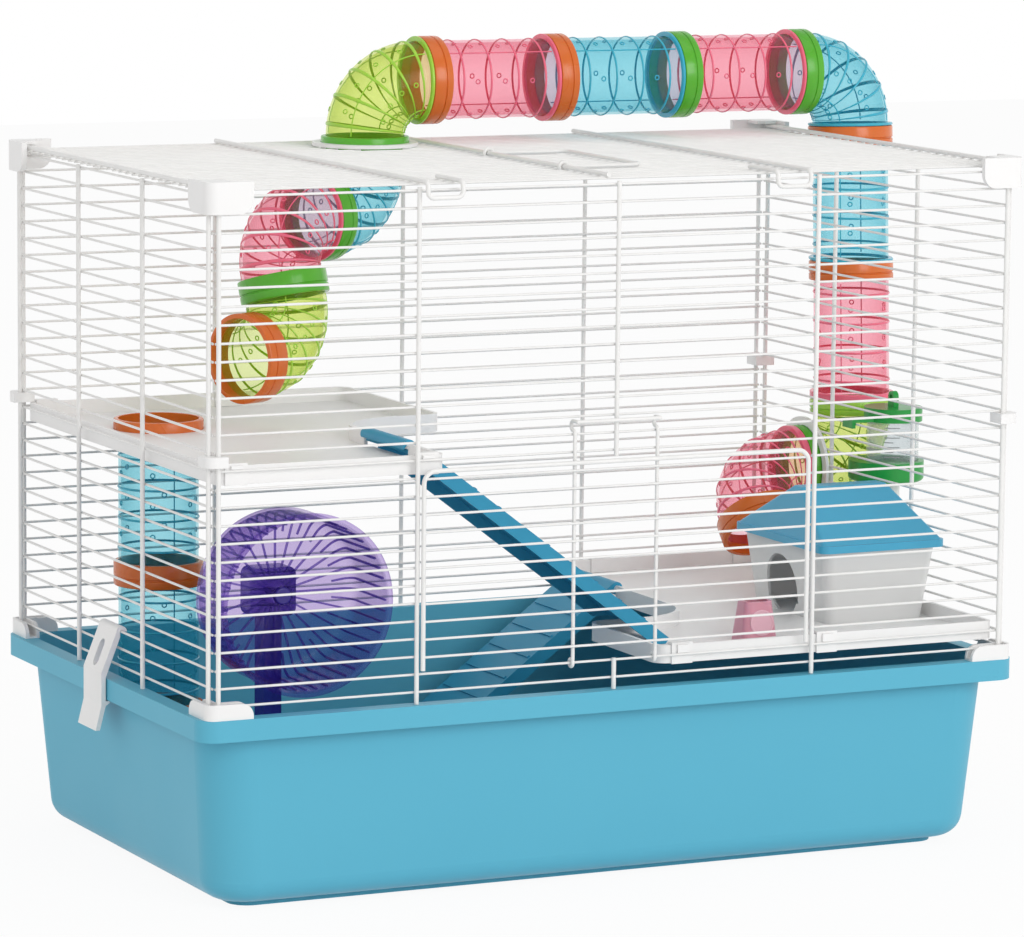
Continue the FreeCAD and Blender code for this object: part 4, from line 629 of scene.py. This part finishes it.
@dataclass
class TubePiece:
    """A tube of the run: a clear wall with moulded ring ribs, lengthwise ribs and vent bosses.

    Attributes:
        node: Node of the frame that the piece stands for.
        tint: Colour of the tube.
        line: Centre line.
        collars: Start along the line and length of each collar.
        ribs: Distances along the line of the ring ribs.
        outer: Outer radius.
        bore: Inner radius.
        gap: Room left at each end.
        seat: Room between the wall and a collar or ring rib on it.
        collar_radius: Radius of a collar.
        collar_soft: Bevel of a collar's edges.
        rib_half: Half the width of a ring rib.
        rib_rise: Height of a ring rib.
        rib_degrees: Angles of the points on a ring rib's round back.
        sides: Points round the tube.
        seams: Number of lengthwise ribs.
        seam_half: Half the width of a lengthwise rib at its foot.
        seam_taper: Width of its back over the width of its foot.
        seam_sink: Depth of its foot in the wall.
        seam_rise: Height of its back over the wall.
        seam_margin: Distance from each end of the tube to the rib's own end.
        vents: Vent bosses in each ring.
        vent_radius: Radius of a vent boss.
        vent_thick: Half the width of its ring.
        vent_rise: Height of its ring.
        vent_sides: Points round a vent boss.
        vent_corners: Points round its ring's section.
    """

    node: str
    tint: Tint
    line: CentreLine
    collars: tuple[tuple[float, float], ...]
    ribs: tuple[float, ...]
    outer: float = 26.7
    bore: float = 24.9
    gap: float = 0.2
    seat: float = 0.02
    collar_radius: float = 30.0
    collar_soft: float = 0.5
    rib_half: float = 0.75
    rib_rise: float = 0.7
    rib_degrees: tuple[int, ...] = (150, 120, 90, 60, 30)
    sides: int = 72
    seams: int = 4
    seam_half: float = 0.45
    seam_taper: float = 0.6
    seam_sink: float = 0.05
    seam_rise: float = 0.4
    seam_margin: float = 9.0
    vents: int = 6
    vent_radius: float = 1.5
    vent_thick: float = 0.42
    vent_rise: float = 0.45
    vent_sides: int = 16
    vent_corners: int = 6

    def wall(self, shape: Shape) -> None:
        """Add the clear wall.

        Args:
            shape: Mesh to add to.
        """
        start = self.gap
        end = self.line.length - self.gap
        profile = [(start, self.outer), (end, self.outer), (end, self.bore), (start, self.bore)]
        shape.turn(self.line, profile, self.sides, WALL_FACES)

    def collar(self, shape: Shape, start: float, length: float) -> None:
        """Add a thick collar with bevelled edges.

        Args:
            shape: Mesh to add to.
            start: Distance along the line at which it starts.
            length: Length along the line.
        """
        end = start + length
        low = self.outer + self.seat
        high = self.collar_radius
        soft = self.collar_soft
        profile = [(start, low), (start, high - soft), (start + soft, high), (end - soft, high),
                   (end, high - soft), (end, low)]
        shape.turn(self.line, profile, self.sides, RIB_FACES)

    def ring_rib(self, shape: Shape, place: float) -> None:
        """Add a ring rib with a round back.

        Args:
            shape: Mesh to add to.
            place: Distance along the line of its middle.
        """
        low = self.outer + self.seat
        profile = [(place - self.rib_half, low)]
        for turn in map(math.radians, self.rib_degrees):
            rise = self.rib_rise * math.sin(turn)
            profile.append((place + self.rib_half * math.cos(turn), low + rise))
        profile.append((place + self.rib_half, low))
        shape.turn(self.line, profile, self.sides, RIB_FACES)

    def long_rib(self, shape: Shape, angle: float) -> None:
        """Add a thin rib along the tube.

        Args:
            shape: Mesh to add to.
            angle: Angle round the line.
        """
        half = self.seam_half / self.outer
        back = half * self.seam_taper
        low = self.outer - self.seam_sink
        high = self.outer + self.seam_rise
        corners = ((-half, low), (-back, high), (back, high), (half, low))
        rows = []
        for place in self.line.stations(self.seam_margin, self.line.length - self.seam_margin):
            rows.append([self.line.point(place, angle + shift, radius) for shift, radius in corners])
        shape.skin(rows, RIB_FACES)

    def vent(self, shape: Shape, place: float, angle: float) -> None:
        """Add a round vent boss on the wall: a raised ring.

        Args:
            shape: Mesh to add to.
            place: Distance along the line of its middle.
            angle: Angle round the line.
        """
        ahead = 0.5
        foot = self.line.point(place, angle, self.outer)
        out = (self.line.point(place, angle, self.outer + 1) - foot).normalized()
        along = (self.line.point(place + ahead, angle, self.outer) - foot).normalized()
        across = out.cross(along)
        leans = [FULL_TURN * n / self.vent_corners for n in range(self.vent_corners)]
        rows = []
        for n in range(self.vent_sides):
            turn = FULL_TURN * n / self.vent_sides
            spoke = along * math.cos(turn) + across * math.sin(turn)
            centre = foot + spoke * self.vent_radius
            rows.append([centre + spoke * (self.vent_thick * math.cos(lean))
                         + out * (self.vent_rise * math.sin(lean)) for lean in leans])
        shape.skin(rows, RIB_FACES, joined=True)

    def build(self, shop: Workshop) -> None:
        """Build the tube and put it in place of its node.

        Args:
            shop: Maker of the pieces.
        """
        wall_look, rib_look, slot = self.tint.value
        shape = Shape()
        self.wall(shape)
        for start, length in self.collars:
            self.collar(shape, start, length)
        for place in self.ribs:
            self.ring_rib(shape, place)
        for n in range(self.seams):
            self.long_rib(shape, math.pi / 4 + FULL_TURN * n / self.seams)
        for low, high in zip(self.ribs, self.ribs[1:]):
            for n in range(self.vents):
                self.vent(shape, (low + high) / 2, FULL_TURN * (n + 0.5) / self.vents)
        shop.piece(f"{self.node}_moulding", shape, (wall_look, rib_look), slot, replaced=(self.node,))


@dataclass(frozen=True)
class RingPlace:
    """Where a coupling ring sits.

    Attributes:
        joint: Middle of the joint.
        heading: Direction along the joint.
        collar: Length at the start of the ring's room that a tube's collar takes up.
    """

    joint: Vector
    heading: Vector
    collar: float = 0.0


@dataclass
class RingSet:
    """Coupling rings of one node: bands with a groove and soft edges.

    Attributes:
        node: Node of the frame.
        look: Finish.
        slot: Slot of the record.
        places: Where the rings sit.
        radius: Outer radius.
        bore: Inner radius.
        length: Whole length over the joint.
        slack: Room left beside a collar.
        soft: Width of the rounded edges.
        soft_middle: A point half round an edge: distance from the end, and from the outer radius.
        groove: Depth of the groove.
        groove_half: Half the width of the groove.
        groove_at: Place of the groove as a share of the band.
        sides: Points round a ring.
    """

    node: str
    look: Look
    slot: str
    places: tuple[RingPlace, ...]
    radius: float = 30.0
    bore: float = 26.9
    length: float = 16.0
    slack: float = 0.2
    soft: float = 0.9
    soft_middle: tuple[float, float] = (0.25, 0.35)
    groove: float = 0.7
    groove_half: float = 0.7
    groove_at: float = 0.62
    sides: int = 72

    def profile(self, start: float, end: float) -> list[tuple[float, float]]:
        """Give a ring's outline as distance along the joint and radius.

        Args:
            start: First edge.
            end: Last edge.

        Returns:
            Corners of the closed outline.
        """
        soft = self.soft
        inset, drop = self.soft_middle
        half = self.groove_half
        middle = start + (end - start) * self.groove_at
        top = self.radius
        deep = top - self.groove
        return [
            (start, self.bore), (start, top - soft), (start + inset, top - drop), (start + soft, top),
            (middle - half, top), (middle - half / 3, deep), (middle + half / 3, deep),
            (middle + half, top), (end - soft, top), (end - inset, top - drop), (end, top - soft),
            (end, self.bore),
        ]

    def build(self, shop: Workshop) -> None:
        """Build the rings and put them in place of their node.

        Args:
            shop: Maker of the pieces.
        """
        shape = Shape()
        half = self.length / 2
        for place in self.places:
            heading = place.heading.normalized()
            side = heading.orthogonal().normalized()
            line = StraightLine(place.joint, heading, side, self.length)
            start = place.collar + self.slack - half if place.collar else -half
            shape.turn(line, self.profile(start, half), self.sides)
        shop.piece(f"{self.node}_moulding", shape, (self.look,), self.slot, replaced=(self.node,))


@dataclass
class TubeRun:
    """All tubes and rings.

    Attributes:
        pitch: Distance between joints of a straight tube.
        elbow_radius: Radius of an elbow's turn.
        elbow_end: Straight end of an elbow.
        roof: Joint in the roof.
        bridge_z: Height of the run over the roof.
        bridge_x: Joints of the run over the roof.
        drop_lean_degrees: Lean towards the door of the run down the right wall.
        landing_degrees: Turn of the landing's mouth towards the door.
        thin_collar: Length of the usual collar.
        wide_collar: Length of the collars at the foot of the drop and at the wall.
        ring_half: Half the length of a coupling ring.
        first_rib: Distance from a straight tube's joint to its first ring rib.
        rib_step: Distance between its ring ribs.
        rib_count: Number of its ring ribs.
        straight_seams: Number of its lengthwise ribs.
        elbow_ribs: Places of an elbow's ring ribs as shares of the turn.
        column: Axis of the column.
        column_z: Joints of the column.
        heading_degrees: Turn of the hanging run away from the left.
        tilt_degrees: Tilt of the hanging run.
    """

    pitch: float = 95.3
    elbow_radius: float = 36.0
    elbow_end: float = 8.65
    roof: tuple[float, float, float] = (-55.6, 113.0, 455.49)
    bridge_z: float = 500.14
    bridge_x: tuple[float, ...] = (-10.95, 84.35, 179.65, 274.95)
    drop_lean_degrees: float = 2.8
    landing_degrees: float = 42.0
    thin_collar: float = 2.0
    wide_collar: float = 5.0
    ring_half: float = 8.0
    first_rib: float = 17.0
    rib_step: float = 20.5
    rib_count: int = 4
    straight_seams: int = 2
    elbow_ribs: tuple[float, ...] = (0.08, 0.29, 0.5, 0.71, 0.92)
    column: tuple[float, float] = (-220.0, 78.0)
    column_z: tuple[float, ...] = (274.72, 179.42, 84.12)
    heading_degrees: float = 22.0
    tilt_degrees: float = 15.0

    def straight(self, node: str, tint: Tint, start: Vector, heading: Vector,
                 collar: float = 0.0) -> TubePiece:
        """Set out a straight tube.

        Args:
            node: Node of the frame.
            tint: Colour.
            start: First joint.
            heading: Direction.
            collar: Length of the collar at the far end, or 0 for none.

        Returns:
            The tube.
        """
        side = Vector((0, 0, 1)) if abs(heading.z) < 0.5 else Vector((0, -1, 0))
        line = StraightLine(start, heading, side, self.pitch)
        collars = ((self.pitch - self.ring_half, collar),) if collar else ()
        ribs = tuple(self.first_rib + n * self.rib_step for n in range(self.rib_count))
        return TubePiece(node, tint, line, collars, ribs, seams=self.straight_seams)

    def elbow(self, node: str, tint: Tint, start: Vector, heading: Vector, leaving: Vector,
              collars: tuple[tuple[float, float], ...] = ()) -> TubePiece:
        """Set out an elbow.

        Args:
            node: Node of the frame.
            tint: Colour.
            start: First joint.
            heading: Direction at the first joint.
            leaving: Direction at the last joint.
            collars: Start along the line and length of each collar.

        Returns:
            The tube.
        """
        line = BentLine(start, heading, leaving, self.elbow_radius, self.elbow_end)
        ribs = tuple(self.elbow_end + line.turn_length * share for share in self.elbow_ribs)
        return TubePiece(node, tint, line, collars, ribs)

    def build(self, shop: Workshop) -> None:
        """Build every tube and ring.

        Args:
            shop: Maker of the pieces.
        """
        right, left = Vector((1, 0, 0)), Vector((-1, 0, 0))
        up, down = Vector((0, 0, 1)), Vector((0, 0, -1))
        reach = self.elbow_radius + self.elbow_end
        roof = Vector(self.roof)
        y = roof.y
        bridge = [Vector((x, y, self.bridge_z)) for x in self.bridge_x]
        lean = math.radians(self.drop_lean_degrees)
        leaning = Vector((0, -math.sin(lean), -math.cos(lean)))
        drop_start = bridge[3] + (right + leaning) * reach
        drop = [drop_start + leaning * (n * self.pitch) for n in range(3)]
        wall = drop[2] + (leaning + left) * reach
        turned = math.radians(self.landing_degrees)
        landing_down = Vector((0, -math.sin(turned), -math.cos(turned)))
        landing = wall + (left + landing_down) * reach
        heading = math.radians(self.heading_degrees)
        tilt = math.radians(self.tilt_degrees)
        outward = Vector((-math.cos(heading), -math.sin(heading), 0))
        sunk = math.sin(tilt)
        tilted = Vector((sunk * math.sin(heading), -sunk * math.cos(heading), -math.cos(tilt)))
        first = roof + (down + outward) * reach
        second = first + (outward + tilted) * reach
        third = second + (tilted + outward) * reach
        column = [Vector((*self.column, z)) for z in self.column_z]
        column_end = column[2] + (down + right) * reach
        thin, wide = self.thin_collar, self.wide_collar
        elbow_length = BentLine(roof, up, right, self.elbow_radius, self.elbow_end).length
        near_thin = ((self.ring_half - thin, thin),)
        near_wide = ((self.ring_half - wide, wide),)
        far_thin = ((elbow_length - self.ring_half, thin),)
        lime, pink, cyan = Tint.LIME, Tint.PINK, Tint.CYAN
        tubes = [
            self.elbow("bridge_left_elbow", lime, roof, up, right, far_thin),
            self.straight("bridge_left_tube", pink, bridge[0], right, thin),
            self.straight("bridge_middle_tube", cyan, bridge[1], right, thin),
            self.straight("bridge_right_tube", pink, bridge[2], right, thin),
            self.elbow("bridge_right_elbow", cyan, bridge[3], right, leaning, far_thin),
            self.straight("drop_upper_tube", cyan, drop[0], leaning, thin),
            self.straight("drop_lower_tube", pink, drop[1], leaning, wide),
            self.elbow("drop_elbow", lime, drop[2], leaning, left),
            self.elbow("landing_elbow", pink, wall, left, landing_down, near_wide),
            self.elbow("hanging_first_elbow", cyan, roof, down, outward),
            self.elbow("hanging_second_elbow", pink, first, outward, tilted, near_thin),
            self.elbow("hanging_third_elbow", lime, second, tilted, outward),
            self.straight("column_upper_tube", cyan, column[0], down),
            self.straight("column_lower_tube", cyan, column[1], down),
            self.elbow("column_foot_elbow", cyan, column[2], down, right),
        ]
        for tube in tubes:
            tube.build(shop)
        orange = (Look.ORANGE, "ring_orange")
        green = (Look.GREEN, "ring_green")
        rings = [
            RingSet("bridge_orange_rings", *orange, tuple(RingPlace(j, right, thin) for j in bridge[:2])),
            RingSet("bridge_green_rings", *green, tuple(RingPlace(j, right, thin) for j in bridge[2:])),
            RingSet("drop_rings", *orange, tuple(RingPlace(j, leaning, thin) for j in drop[:2])),
            RingSet("drop_end_ring", Look.LIME_RIB, "tube_lime", (RingPlace(drop[2], leaning, wide),)),
            RingSet("roof_ring", *green, (RingPlace(roof, up),)),
            RingSet("wall_ring", *green, (RingPlace(wall, right, wide),)),
            RingSet("landing_end_ring", *orange, (RingPlace(landing, landing_down),)),
            RingSet("hanging_rings", *green, (RingPlace(first, -outward, thin),
                                              RingPlace(second, tilted))),
            RingSet("hanging_end_ring", *orange, (RingPlace(third, outward),)),
            RingSet("column_rings", *orange, (*(RingPlace(j, down) for j in column),
                                              RingPlace(column_end, right))),
        ]
        for ring in rings:
            ring.build(shop)


@dataclass
class DishDisc:
    """A plain round pad moulded on the dish's face towards the door.

    Attributes:
        middle: Middle of the pad.
        lean_degrees: Lean of the dish's face.
        radius: Radius of the pad.
        rise: Height of its edge over the face.
        sink: Depth of its foot in the face.
        edge: Width of the raised edge.
        soft: Outer bevel of the edge.
        inner_soft: Inner bevel of the edge.
        shoulder: Share of the height at which the outer bevel starts.
        well: Share of the height at which the flat middle lies.
        hub: Share of the middle's radius inside which one face closes it.
        sides: Points round the pad.
    """

    middle: tuple[float, float, float] = (120.5, -137.5, 156.6)
    lean_degrees: float = 6.2
    radius: float = 8.6
    rise: float = 0.7
    sink: float = 0.4
    edge: float = 1.4
    soft: float = 0.4
    inner_soft: float = 0.3
    shoulder: float = 0.7
    well: float = 0.5
    hub: float = 0.3
    sides: int = 48

    def build(self, shop: Workshop) -> None:
        """Build the pad with a raised edge.

        Args:
            shop: Maker of the pieces.
        """
        lean = math.radians(self.lean_degrees)
        out = Vector((0, -math.cos(lean), math.sin(lean)))
        upward = Vector((0, math.sin(lean), math.cos(lean)))
        across = Vector((1, 0, 0))
        inner = self.radius - self.edge
        flat = self.rise * self.well
        profile = ((self.radius, -self.sink), (self.radius, self.rise * self.shoulder),
                   (self.radius - self.soft, self.rise), (inner + self.inner_soft, self.rise),
                   (inner, flat), (inner * self.hub, flat))
        rows = []
        for radius, height in profile:
            row = []
            for n in range(self.sides):
                turn = FULL_TURN * n / self.sides
                spoke = across * math.cos(turn) + upward * math.sin(turn)
                row.append(Vector(self.middle) + spoke * radius + out * height)
            rows.append(row)
        shape = Shape()
        shape.skin(rows)
        shop.piece("feeding_dish_pad", shape, (Look.DISC,), "dish_pink", "dish")


@dataclass
class BottleScale:
    """Plain measuring ticks printed on the water bottle.

    Attributes:
        axis: Axis of the bottle.
        radius: Radius of the bottle.
        first: Height of the lowest tick.
        step: Distance between ticks.
        count: Number of ticks.
        start_degrees: Angle at which every tick starts.
        long_degrees: Angle that a long tick takes up.
        short_degrees: Angle that a short tick takes up.
        half: Half the width of a tick.
        seat: Room between the bottle and the ink.
        film: Height of the ink over the bottle.
        steps: Faces along a tick.
    """

    axis: tuple[float, float] = (315.0, 34.0)
    radius: float = 18.25
    first: float = 236.5
    step: float = 3.4
    count: int = 7
    start_degrees: float = -138.0
    long_degrees: float = 34.0
    short_degrees: float = 20.0
    half: float = 0.35
    seat: float = 0.02
    film: float = 0.12
    steps: int = 8

    def tick(self, shape: Shape, height: float, degrees: float) -> None:
        """Add one tick as a thin raised line round the bottle.

        Args:
            shape: Mesh to add to.
            height: Middle of the line.
            degrees: Angle that it takes up.
        """
        half = self.half
        section = ((self.seat, -half), (self.film, -half), (self.film, half), (self.seat, half))
        rows = []
        for n in range(self.steps + 1):
            turn = math.radians(self.start_degrees + degrees * n / self.steps)
            row = []
            for rise, lift in section:
                reach = self.radius + rise
                row.append(Vector((self.axis[0] + reach * math.cos(turn),
                                   self.axis[1] + reach * math.sin(turn), height + lift)))
            rows.append(row)
        shape.skin(rows)

    def build(self, shop: Workshop) -> None:
        """Build the ticks, every other one long.

        Args:
            shop: Maker of the pieces.
        """
        shape = Shape()
        for n in range(self.count):
            degrees = self.short_degrees if n % 2 else self.long_degrees
            self.tick(shape, self.first + n * self.step, degrees)
        shop.piece("bottle_body_ticks", shape, (Look.INK,), "bottle_clear")


@dataclass
class Mouldings:
    """The nodes of the frame whose own shape shows, and their finishes.

    Attributes:
        finishes: Names of the nodes by finish.
    """

    finishes: dict[Look, tuple[str, ...]] = field(default_factory=lambda: {
        Look.TRAY: ("base_tray",),
        Look.WIRE: ("front_wire_panel", "back_wire_panel", "left_wire_panel", "right_wire_panel",
                    "front_door", "roof_wire_panel", "carry_handle"),
        Look.WHITE: ("roof_corner_caps", "corner_clips", "base_corner_feet", "left_latch", "right_latch",
                     "upper_platform", "lower_platform", "upper_platform_clips", "lower_platform_clips",
                     "roof_tube_plate", "wall_tube_plate", "bottle_boss"),
        Look.RAMP: ("upper_ramp", "lower_ramp"),
        Look.HOUSE_ROOF: ("house_roof",),
        Look.HOUSE: ("house_body",),
        Look.WHEEL: ("wheel_drum",),
        Look.RIB: ("wheel_ribs",),
        Look.HUB: ("wheel_hub_cap",),
        Look.STAND: ("wheel_stand",),
        Look.DISH: ("feeding_dish",),
        Look.BOTTLE: ("bottle_body",),
        Look.BOTTLE_GREEN: ("bottle_cap", "bottle_holder"),
        Look.STEEL: ("drinking_tube", "spout_ball", "wheel_axle"),
    })

    def dress(self, shop: Workshop) -> None:
        """Give each node its finish.

        Args:
            shop: Keeper of the materials.
        """
        for look, nodes in self.finishes.items():
            for node in nodes:
                shop.dress(node, look)


@dataclass(frozen=True)
class SoftBox:
    """A square lamp that faces the cage.

    Attributes:
        name: Name of the lamp.
        place: Where it hangs, in metres.
        side: Side of the box, in metres.
        power: Watts.
    """

    name: str
    place: tuple[float, float, float]
    side: float
    power: float


@dataclass
class Studio:
    """Floor, soft light and camera.

    Attributes:
        floor_half: Half the side of the floor.
        floor_depth: Thickness of the floor.
        floor_glow: Share of plain white in what the camera sees of the floor.
        side_light: Strength of the world's light from the sides.
        zenith_light: Strength of the world's light from straight above.
        boxes: The lamps.
        aim_at: Point that the lamps face, in metres.
        camera_at: Place of the camera, in metres.
        azimuth_degrees: Turn of the view about the upright axis.
        elevation_degrees: Height of the view over the horizon.
        roll_degrees: Turn of the view about its own axis.
        lens_mm: Focal length.
        sensor_mm: Width of the sensor.
        sight: Distance that the camera sees, in metres.
    """

    floor_half: float = 6000.0
    floor_depth: float = 4.0
    floor_glow: float = 0.93
    side_light: float = 1.15
    zenith_light: float = 0.45
    boxes: tuple[SoftBox, ...] = (SoftBox("front_soft_box", (0.6, -2.9, 1.5), 1.6, 29.0),
                                  SoftBox("top_soft_box", (0.2, -0.3, 3.0), 2.0, 8.0))
    aim_at: tuple[float, float, float] = (0.0, 0.0, 0.25)
    camera_at: tuple[float, float, float] = (-1.4867, -3.1050, 0.7374)
    azimuth_degrees: float = -25.631
    elevation_degrees: float = 8.101
    roll_degrees: float = 0.533
    lens_mm: float = 182.705
    sensor_mm: float = 36.0
    sight: float = 50.0

    def camera(self) -> None:
        """Set the camera at the photograph's angle."""
        data = bpy.data.cameras.new("studio_camera")
        data.sensor_width = self.sensor_mm
        data.lens = self.lens_mm
        data.clip_end = self.sight
        camera = put_in_scene("studio_camera", data)
        turn = math.radians(self.azimuth_degrees)
        rise = math.radians(self.elevation_degrees)
        roll = math.radians(self.roll_degrees)
        flat = math.cos(rise)
        back = Vector((math.sin(turn) * flat, -math.cos(turn) * flat, math.sin(rise)))
        level = Vector((math.cos(turn), math.sin(turn), 0))
        upward = back.cross(level)
        right = level * math.cos(roll) + upward * math.sin(roll)
        top = upward * math.cos(roll) - level * math.sin(roll)
        matrix = Matrix((right, top, back)).transposed().to_4x4()
        matrix.translation = Vector(self.camera_at)
        camera.matrix_world = matrix
        bpy.context.scene.camera = camera

    def floor(self) -> None:
        """Lay a pale floor that keeps the cage's shadow and shows white to the camera."""
        half = self.floor_half
        corners = [(-half, -half), (half, -half), (half, half), (-half, half)]
        shape = Shape()
        shape.skin([[Vector((x, y, z)) for x, y in corners] for z in (-self.floor_depth, 0.0)])
        mesh = bpy.data.meshes.new("studio_floor")
        shape.write(mesh)
        floor = put_in_scene("studio_floor", mesh)
        material, tree = new_tree("painted_board_pale")
        ray = add_node(tree, "ShaderNodeLightPath")
        seen = add_node(tree, "ShaderNodeMath", {
            0: ray.outputs["Is Camera Ray"], 1: ray.outputs["Is Glossy Ray"]}, operation="MAXIMUM")
        through = add_node(tree, "ShaderNodeMath", {
            0: seen.outputs[0], 1: ray.outputs["Is Transmission Ray"]}, operation="MAXIMUM")
        share = add_node(tree, "ShaderNodeMath", {
            0: through.outputs[0], 1: self.floor_glow}, operation="MULTIPLY")
        paint = add_node(tree, "ShaderNodeBsdfDiffuse", {"Color": linear("#F4F4F4")})
        glow = add_node(tree, "ShaderNodeEmission", {"Color": linear("#FFFFFF"), "Strength": 1.0})
        mixed = add_node(tree, "ShaderNodeMixShader", {
            0: share.outputs[0], 1: paint.outputs["BSDF"], 2: glow.outputs["Emission"]})
        add_node(tree, "ShaderNodeOutputMaterial", {"Surface": mixed.outputs["Shader"]})
        mesh.materials.append(material)

    def world(self) -> None:
        """Surround the cage with soft white light, weaker from above, that the camera sees as white."""
        world = bpy.data.worlds.new("studio_world")
        world.use_nodes = True
        tree = world.node_tree
        tree.nodes.clear()
        ray = add_node(tree, "ShaderNodeLightPath")
        seen = add_node(tree, "ShaderNodeMath", {
            0: ray.outputs["Is Camera Ray"], 1: ray.outputs["Is Transmission Ray"]}, operation="MAXIMUM")
        heading = add_node(tree, "ShaderNodeTexCoord").outputs["Generated"]
        rise = add_node(tree, "ShaderNodeSeparateXYZ", {"Vector": heading}).outputs["Z"]
        strength = add_node(tree, "ShaderNodeMapRange", {
            "Value": rise, "To Min": self.side_light, "To Max": self.zenith_light})
        soft = add_node(tree, "ShaderNodeBackground", {
            "Color": linear("#FFFFFF"), "Strength": strength.outputs["Result"]})
        white = add_node(tree, "ShaderNodeBackground", {"Color": linear("#FFFFFF"), "Strength": 1.0})
        mixed = add_node(tree, "ShaderNodeMixShader", {
            0: seen.outputs[0], 1: soft.outputs["Background"], 2: white.outputs["Background"]})
        add_node(tree, "ShaderNodeOutputWorld", {"Surface": mixed.outputs["Shader"]})
        bpy.context.scene.world = world

    def lamp(self, box: SoftBox) -> None:
        """Hang a soft box so that it faces the cage.

        Args:
            box: The soft box.
        """
        data = bpy.data.lights.new(box.name, "AREA")
        data.shape = "SQUARE"
        data.size = box.side
        data.energy = box.power
        lamp = put_in_scene(box.name, data)
        lamp.location = box.place
        aim = Vector(self.aim_at) - Vector(box.place)
        lamp.rotation_euler = aim.to_track_quat("-Z", "Y").to_euler()

    def build(self) -> None:
        """Set up floor, light and camera."""
        self.floor()
        self.world()
        for box in self.boxes:
            self.lamp(box)
        self.camera()
        bpy.context.scene.view_settings.view_transform = "Standard"


def main() -> None:
    """Dress the cage and set up the studio."""
    logging.basicConfig(level=logging.INFO, format="%(name)s: %(message)s")
    shop = Workshop()
    Mouldings().dress(shop)
    TubeRun().build(shop)
    DishDisc().build(shop)
    BottleScale().build(shop)
    Studio().build()


if __name__ == "__main__":
    main()
